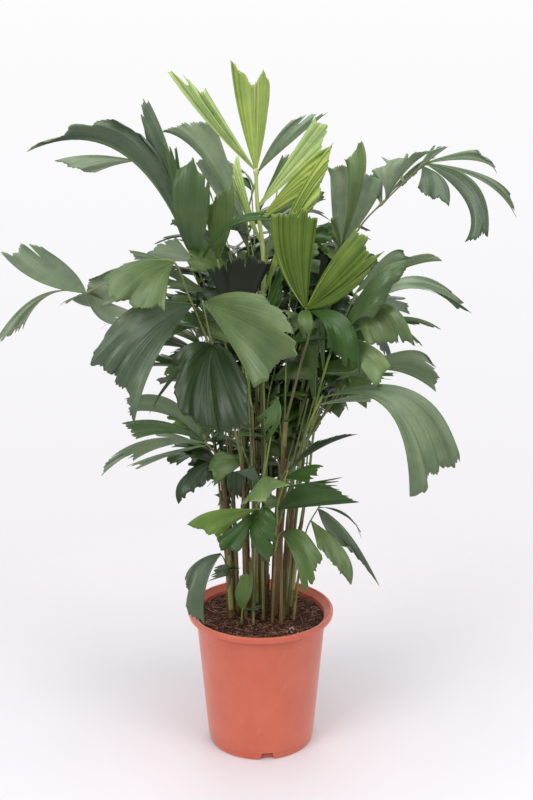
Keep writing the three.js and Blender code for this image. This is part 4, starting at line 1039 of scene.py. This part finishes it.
def leafletsAlong(curve, count, size, out, rule, seed):
    # Leaflets by rule, left and right in turn along a stalk and one at its end.
    tones = rule["tones"].split()
    end = 1 - leafShape["sink"] / lengthOf(curve)
    leaves = []
    for i in range(count):
        last = i == count - 1
        t = end if last else rule["from"] + rule["over"] * i / (count - 1)
        base = pointAt(curve, np.array(t))
        along = unit(pointAt(curve, np.array(min(t + 0.02, 1))) - pointAt(curve, np.array(t - 0.02)))
        side = unit(np.cross(along, up)) * (1 if i % 2 else -1)
        lift = rule["rise"] * (1 - 2 * chance(seed + i))
        length = size * dealt(rule["length"], seed + 31 + i)
        way = unit(along - up * rule["endDroop"] if last else along * rule["forward"] + side + up * lift)
        across = side if last else unit(np.cross(way, up)) * (-1 if i % 2 else 1)
        edge = unit(across + up * rule["lean"] * (2 * chance(seed + 61 + i) - 1))
        tip = base + way * length - up * rule["droop"] * length
        ear = base + way * rule["earAlong"] * length + edge * rule["earOut"] * length
        leaf = leafOf(base, tip, ear, rule, seed + 7 * i)
        tone = tones[int(chance(seed + 17 + 3 * i) * len(tones))]
        leaves.append({**leaf, "tone": tone, "share": t, "faces": base + up * 400 + out * 60})
    return leaves


def grownFrond(name, row, seed):
    # A frond at the back: a stalk that rises, leans out and sags, and pairs of leaflets.
    cane, level, bearing, rise, reach, sag, pairs, size = row
    start = onCane(cane, level)
    angle = math.radians(bearing)
    out = np.array((math.cos(angle), math.sin(angle), 0.0))
    curve = throughPoints([start + out * reach * share + up * lift for share, lift in (
        (0, 0), (0.2, rise * 0.5), (0.6, rise * 0.95), (1, rise - sag))])
    count = 2 * (pairs + farLeaf["morePairs"]) + 1
    leaves = leafletsAlong(curve, count, size, out, farLeaf, seed)
    return {"name": name, "radius": farLeaf["radius"], "curve": curve, "leaves": leaves}


def innerFrond(row, seed):
    # A small frond between the canes.
    cane, level, x, y, z, size, count = row
    start = onCane(cane, level)
    run = np.array((x, y, z)) - start
    curve = throughPoints([start, start + run * (0.35, 0.35, 0.62), start + run])
    out = unit(run * (1, 1, 0) + np.array((0.01, 0, 0)))
    leaves = leafletsAlong(curve, count, size, out, innerLeaf, seed)
    return {"name": "frond_inner", "radius": innerLeaf["radius"], "curve": curve, "leaves": leaves}


def warp(a, seed, amount):
    # Moves shares of the margin about, so that what is dealt out evenly over them falls unevenly.
    slow = np.sin(fullTurn * (1.4 * a + chance(seed + 1)))
    quick = np.sin(fullTurn * (3.7 * a + chance(seed + 2)))
    return a + amount * (slow + 0.45 * quick)


def bite(leaf, a):
    # How far the ragged margin is bitten back on ray a, as a share of the reach: deeper where it runs aslant.
    s, seed, width, marked = leafShape, leaf["seed"], leaf["width"], leaf["margin"]
    depth = np.zeros_like(a)
    end, step = np.ones_like(a), 0.02
    before, after = np.clip(a - step, 0, 1), np.clip(a + step, 0, 1)
    margin = unit(leafPoint(leaf, after, end) - leafPoint(leaf, before, end))
    ray = unit(leafPoint(leaf, a, end) - leafPoint(leaf, a, end * 0.9))
    aslant = 1 / np.clip(np.linalg.norm(np.cross(margin, ray), axis=1), 0.6, 1)
    for every, deep, least, uneven, left, salt in s["bites"]:
        count = max(2, round(width / every))
        x = warp(a, seed + salt, uneven / count) * count + chance(seed + salt) * 0.8
        whole = np.floor(x)
        lean = 0.12 + 0.76 * chance(seed * 1.3 + salt + whole * 3.1)  # where the tooth is longest
        rest = np.where(x - whole < lean, (lean - x + whole) / lean, (x - whole - lean) / (1 - lean))
        share = dealt((least, 1.22 - least), seed * 1.7 + salt + whole * 2.3, 1.3)
        depth += deep * (left if marked else 1) * share * rest ** 1.2
    every, deep = s["nibble"]
    depth += deep * chance(seed + np.round(a * width / every) * 0.913)
    splits = s["splits"]
    for k in range(splits["tries"]):  # now and then a split between two veins
        if chance(seed + 40 + k) < splits["marked" if marked else "plain"]:
            middle, half = dealt((0.15, 0.7), seed + 50 + k), splits["half"] / width
            depth += dealt(splits["depth"], seed + 60 + k) * np.clip(1 - np.abs(a - middle) / half, 0, 1)
    corners = np.clip(np.minimum(a, 1 - a) * 12, 0, 1)
    return np.clip(depth * aslant * corners / leaf["reach"], 0, s["deepest"])


def pleatsOf(leaf, a):
    # Pleats counted along the margin; a valley lies at every whole number.
    count = max(2, round(leaf["width"] / ageOf(leaf["tone"])["pleatEvery"]))
    return warp(a, leaf["seed"] + 20, leafShape["pleatWarp"] / count) * count + chance(leaf["seed"] + 21)


def fold(leaf, a, u):
    # How far the blade lies off its middle surface: pleats along the rays, slow waves, a frilled margin.
    seed, width, age = leaf["seed"], leaf["width"], ageOf(leaf["tone"])
    x = pleatsOf(leaf, a)
    ridge = 1 - 2 * np.abs(2 * (x - np.floor(x)) - 1)
    deep = age["pleat"] * (0.55 + 0.9 * chance(seed + 25 + np.floor(x)))
    slow = age["wave"] * min(width / leafShape["waveWidth"], 1.3)
    wave = np.sin((a * (1.0 + 0.8 * chance(seed + 22)) + 0.25 * u + chance(seed + 23)) * fullTurn)
    ripple = np.sin((a * width / leafShape["rippleEvery"] + 0.7 * u + chance(seed + 24)) * fullTurn)
    frill = np.sin((a * width / leafShape["frillEvery"] + chance(seed + 26)) * fullTurn)
    return (deep * ridge * u ** 0.8 * (1.3 - 0.6 * u) + slow * wave * u ** 1.6
            + age["ripple"] * ripple * u ** 3 + age["frill"] * frill * u ** 8)


def bladePiece(leaf):
    s, middle = leafShape, (np.array((0.5,)), np.array((0.6,)))
    columns = int(np.clip(leaf["width"] / s["columnEvery"] / leaf["grain"], *s["columns"]))
    rows = int(np.clip(leaf["reach"] / s["rowEvery"] / leaf["grain"], *s["rows"]))
    piece, a, u = gridPiece("leaflet", columns, rows)
    turned = 1
    if leafNormal(leaf, *middle)[0] @ (leaf["faces"] - leafPoint(leaf, *middle)[0]) < 0:
        turned = -1
        a = 1 - a
    v = u * (1 - bite(leaf, a) * u ** 4)
    places = leafPoint(leaf, a, v) + leafNormal(leaf, a, v) * turned * fold(leaf, a, v)[:, None]
    shape(piece, places, pleatsOf(leaf, a) * leafDetail["nerves"], u)
    for skin in leafSkins[leaf["tone"]]:
        piece.data.materials.append(skin)
    return piece


ribLooks = {
    "rows": ((0.07, 0.75, 0.93), (0.5, 0.4, 0.7)),  # ray, radius, share of the ray's length
    "points": 24, "shaded": ("dark", "shade", "leafy", "deep"),
}


def ribPieces(leaf):
    # The strongest nerves, standing proud of both sides of the blade.
    pieces = []
    for where, thick, end in ribLooks["rows"]:
        a, u = np.full(ribLooks["points"], where), np.linspace(0, end, ribLooks["points"])
        curve = leafPoint(leaf, a, u) + leafNormal(leaf, a, u) * fold(leaf, a, u)[:, None]
        thick *= min(1.2, 0.5 + leaf["reach"] / 260)
        pieces.append(tube("rib", curve, lambda share, turn, t=thick: t * (1 - 0.85 * share), 6, 16))
        skin = ribDark if leaf["tone"] in ribLooks["shaded"] else ribOld
        pieces[-1].data.materials.append(ribNew if leaf["tone"] in youngTones else skin)
    return pieces


stalkLooks = {
    "slim": 0.66, "full": ("frond_new", "loose"),  # the share of the table's radius; which stalks keep it all
    "dull": ("frond_right_high", "frond_left_high", "frond_left", "frond_rim", "frond_small",
             "frond_left_low", "frond_pleated", "frond_front", "loose"),
    "loose": [1.6, 1.1], "joint": (0.5, 0.012),  # how far a joint stands out, and its share of the stalk
}


def stalkPiece(frond):
    name, (rise, span) = frond["name"], stalkLooks["joint"]
    foot, tip = np.array(frond["radius"]) * (1.0 if name in stalkLooks["full"] else stalkLooks["slim"])

    def radiusAt(share, turn):
        radius = foot + (tip - foot) * share
        for leaf in frond["leaves"]:  # a slight joint where each leaflet leaves
            radius = radius + rise * np.exp(-((share - min(leaf["share"], 0.98)) / span) ** 2)
        return radius

    piece = tube("stalk", frond["curve"], radiusAt, 10, max(24, int(lengthOf(frond["curve"]) / 6)))
    skin = stalkDull if name in stalkLooks["dull"] else stalkGreen
    piece.data.materials.append(stalkNew if name == "frond_new" else skin)
    return piece


caneLooks = {
    "stem": 0.5, "stalk": (0.26, 0.36), "stalks": (2, 4),  # shares of the cane's radius; how many clasp it
    "brown": (8, 14, 3), "firstScar": (8, 26), "scarEvery": (30, 30),  # least and more, in millimetres
    "sleeve": 0.66, "sheaths": 0.42, "wrap": (0.35, 0.7), "sheathHeight": (22, 44), "sheathThickness": 0.45,
}


def canePieces(index, row):
    # A slim stem with leaf scars and the long stalks that clasp it, together as thick as the cane.
    foot, tip = row[5:7]
    curve = caneCurve(row)
    length = lengthOf(curve)
    gaps, at = [], dealt(caneLooks["firstScar"], index + 0.5)
    while at < length:
        gaps.append(at / length)
        at += dealt(caneLooks["scarEvery"], index * 3.1 + at)

    def radiusAt(share, turn):
        radius = (foot + (tip - foot) * share) * caneLooks["stem"]
        radius = radius * (1 + 0.05 * np.sin(3 * turn + 9 * chance(index) + 2 * share))
        for gap in gaps:  # leaf scars: a thin ring above a slight groove
            off = (share - gap) * length
            radius = radius + 0.55 * np.exp(-(off / 1.8) ** 2) - 0.3 * np.exp(-((off + 4) / 2.5) ** 2)
        return radius

    stem = tube("cane", curve, radiusAt, 12, int(length / 3.5))
    kind = 5 * chance(index * 2.3)
    # Some stems take caneShade, the painted-shade copy of the skin.
    skin = caneShade if kind > 3.2 else caneGreen
    stem.data.materials.append(caneBrown if index in caneLooks["brown"] or kind < 1.2 else skin)
    pieces = [stem]
    least, most = caneLooks["stalks"]
    low, high = caneLooks["stalk"]
    for k in range(least + int((most - least + 1) * chance(index * 1.9 + 3))):
        seed = index * 7.3 + k * 2.1
        slim = low + (high - low) * chance(seed)
        start = 0.0 if k < 2 else 0.5 * chance(seed + 1)
        share = np.linspace(start, 0.99, 60)
        turn = fullTurn * (k / 3 + 0.4 * chance(seed + 2) + 0.35 * (chance(seed + 3) - 0.5) * share)
        radius = (foot + (tip - foot) * share) * (1 - slim) * (0.85 + 0.15 * np.sin(9 * share + seed))
        path = pointAt(curve, share) + spokes(turn) * radius[:, None]
        thick = (foot + tip) / 2 * slim
        stalk = tube("stalk", path, lambda share, turn, t=thick: t * (1 - 0.25 * share), 8, int(length / 9))
        # Stalks take the green, the brown or the painted-shade skin.
        stalk.data.materials.append((caneGreen, caneShade, caneBrown, caneShade)[int(4 * chance(seed + 4))])
        pieces.append(stalk)
    return pieces, [gap for gap in gaps if gap < 0.96]


def sheathPieces(index, row, gaps):
    # Old leaf bases: a torn sleeve round the cane, open down one side and slanting up to its tear.
    foot, tip = row[5:7]
    curve = caneCurve(row)
    length = lengthOf(curve)
    least, most = caneLooks["wrap"]
    pieces = []
    for k, gap in enumerate(gaps):
        seed = index * 17 + k * 5
        if chance(seed) > caneLooks["sheaths"]:
            continue
        piece, across, along = gridPiece("sheath", 20, 14)
        wrap = (least + (most - least) * chance(seed + 1)) * fullTurn
        turn = chance(seed + 2) * fullTurn + (across - 0.5) * wrap
        tall = dealt(caneLooks["sheathHeight"], seed + 3) / length
        slant = 0.55 + 0.45 * np.cos((across - 0.5) * 2.6) - 0.16 * chance(seed + across * 77)
        share = np.clip(gap + tall * along * slant, 0, 1)
        flare = 0.3 + 1.1 * along ** 2 * chance(seed + 4)
        radius = (foot + (tip - foot) * share) * caneLooks["sleeve"] + flare
        places = pointAt(curve, share) + spokes(turn) * radius[:, None]
        shape(piece, places, across * wrap * foot, along * tall * length)
        piece.data.materials.append(sheathDry if chance(seed + 6) < 0.55 else sheathGreen)
        pieces.append(piece)
    return pieces


# Making the palm

def makeCanes():
    stems, sheaths = [], []
    for i, row in enumerate(canes):
        parts, gaps = canePieces(i, row)
        stems.append(joined("cane", parts))
        sheaths.extend(sheathPieces(i, row, gaps))
    stems = joined("caneStems", stems)
    edited(stems, welding)
    sheaths = joined("caneSheaths", sheaths)
    thickness = caneLooks["sheathThickness"] * mm
    applyModifier(sheaths, "thickness", "SOLIDIFY", {"thickness": thickness, "offset": 1.0})
    return [finishPiece(stems, "cane", *(f"cane_{i + 1:02d}" for i in range(len(canes)))),
            finishPiece(sheaths, "cane")]


def makeFoliage():
    # Every frond is joined as soon as it is made, and the parts of one kind in the end.
    pieces, stalks, ribs, innerBlades = [], [], [], []
    for i, row in enumerate(innerFronds):
        frond = innerFrond(row, 9000 + 100 * i)
        innerBlades.append(joined("blades", [bladePiece(leaf) for leaf in frond["leaves"]]))
        stalks.append(stalkPiece(frond))
    for cane, level, x, y, z in looseStalks:
        curve = throughPoints([onCane(cane, level), seen((x, z, y))])
        loose = {"name": "loose", "radius": stalkLooks["loose"], "curve": curve, "leaves": []}
        stalks.append(stalkPiece(loose))
    grown = [laidFrond(row, 100 * i) for i, row in enumerate(fronds)]
    grown += [grownFrond(f"frond_far_{i + 1}", row, 5000 + 100 * i) for i, row in enumerate(farFronds)]
    for frond in grown:
        parts = [bladePiece(leaf) for leaf in frond["leaves"]]
        if frond["name"] == "frond_inner":
            parts += innerBlades
        blades = joined(frond["name"].replace("frond_", "leaflets_"), parts)
        applyModifier(blades, "thickness", "SOLIDIFY", {
            "thickness": leafShape["thickness"] * mm, "offset": 0.0, "material_offset": 1})
        young = frond["name"] in ("frond_new", "frond_pleated")
        pieces.append(finishPiece(blades, "new_leaf" if young else "leaf", frond["name"]))
        stalks.append(stalkPiece(frond))
        ribs.append(joined("ribs", [rib for leaf in frond["leaves"] for rib in ribPieces(leaf)]))
    for name, parts, slotName in (("frondStalks", stalks, "cane"), ("leafletRibs", ribs, "leaf")):
        whole = joined(name, parts)
        edited(whole, welding)
        pieces.append(finishPiece(whole, slotName))
    return pieces


# Floor, light and camera

studio = {
    "floor": ("#dfdbdf", "#e6e2e6"), "floorSize": 6.0, "floorDrop": 0.4,
    "floorReach": (0.45, 1.25),  # metres from the pot where the floor fades
    "backdrop": ("#fdfdfe", "#f4f2f5"), "horizon": (-0.35, 0.05), "ambient": 0.62,
    "lights": [  # name, place, aim, size in metres, watts
        ("softboxLeft", (-1.9, -2.3, 2.3), (0.0, 0.0, 0.6), 1.5, 46),
        ("softboxRight", (1.9, -1.7, 2.0), (0.0, 0.0, 0.6), 1.3, 20),
        ("softboxTop", (0.1, -0.5, 3.0), (0.0, 0.0, 0.7), 2.0, 34),
        ("softboxBack", (0.0, 2.4, 2.4), (0.0, 0.0, 0.7), 2.0, 22),
    ],
}


def floorPaper():
    # White seamless paper that runs out softly into the backdrop.
    material, tree, shader, place = newMaterial("white seamless paper", {"Roughness": 0.85})
    clouds = addNode(tree, "TexNoise", {"Scale": 3.0, "Detail": 4.0}, {"Vector": (place, "Object")})
    ramp = addNode(tree, "ValToRGB", {}, {"Fac": (clouds, "Fac")})
    setStops(ramp, *((i, linear(colour)) for i, colour in enumerate(studio["floor"])))
    away = addNode(tree, "VectorMath", {"operation": "LENGTH"}, {0: (place, "Object")})
    near, far = studio["floorReach"]
    fade = addNode(tree, "MapRange", {
        "interpolation_type": "SMOOTHSTEP", "From Min": near, "From Max": far, "To Min": 1.0, "To Max": 0.0},
        {"Value": (away, "Value")})
    feed(shader, {"Base Color": (ramp, "Color"), "Alpha": (fade, "Result")})
    return material


def makeBackdrop():
    # White all round, a shade greyer below; the camera sees it brighter than it lights the palm.
    world = bpy.data.worlds.new("paleStudio")
    world.use_nodes = True
    tree = world.node_tree
    path = addNode(tree, "LightPath")
    strength = addNode(tree, "MapRange", {"To Min": studio["ambient"], "To Max": 1.0}, {
        "Value": (path, "Is Camera Ray")})
    place = addNode(tree, "TexCoord")
    parts = addNode(tree, "SeparateXYZ", {}, {"Vector": (place, "Generated")})
    low, high = studio["horizon"]
    height = addNode(tree, "MapRange", {"From Min": low, "From Max": high}, {"Value": (parts, "Z")})
    above, below = studio["backdrop"]
    shade = addNode(tree, "MixRGB", {"Color1": linear(below), "Color2": linear(above)}, {
        "Fac": (height, "Result")})
    feed(tree.nodes["Background"], {"Strength": (strength, "Result"), "Color": (shade, "Color")})
    bpy.context.scene.world = world


def makeStudio():
    bpy.ops.mesh.primitive_plane_add(size=studio["floorSize"], location=(0, 0, -studio["floorDrop"] * mm))
    floor = bpy.context.object
    floor.name = "studioFloor"
    floor.data.materials.append(floorPaper())
    makeBackdrop()
    for name, place, aim, size, watts in studio["lights"]:
        turn = (Vector(aim) - Vector(place)).to_track_quat("-Z", "Y").to_euler()
        bpy.ops.object.light_add(type="AREA", location=place, rotation=turn)
        light = bpy.context.object
        light.name = name
        light.data.shape, light.data.size, light.data.energy = "SQUARE", size, watts


def makeCamera():
    place = [v * mm for v in cameraView["eye"]]
    bpy.ops.object.camera_add(location=place, rotation=(math.radians(90 - cameraView["pitch"]), 0, 0))
    camera = bpy.context.object
    camera.data.lens = cameraView["lens"]
    bpy.context.scene.camera = camera


makeCamera()
print("camera set")
pieces = [makePot(), makeSoil(), makeFibres(), makeCrumbs()]
print("pot and potting mix made")
pieces += makeCanes()
print("canes made")
pieces += makeFoliage()
print("fronds made")
makeStudio()
bpy.context.scene.view_settings.view_transform = "Standard"  # plain colours, as the camera saw them
for piece in pieces:
    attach(piece, "root")
counts = {piece.name: sum(len(p.vertices) - 2 for p in piece.data.polygons) for piece in pieces}
print("pieces", len(pieces), "triangles", sum(counts.values()), "most in one", max(counts.values()))
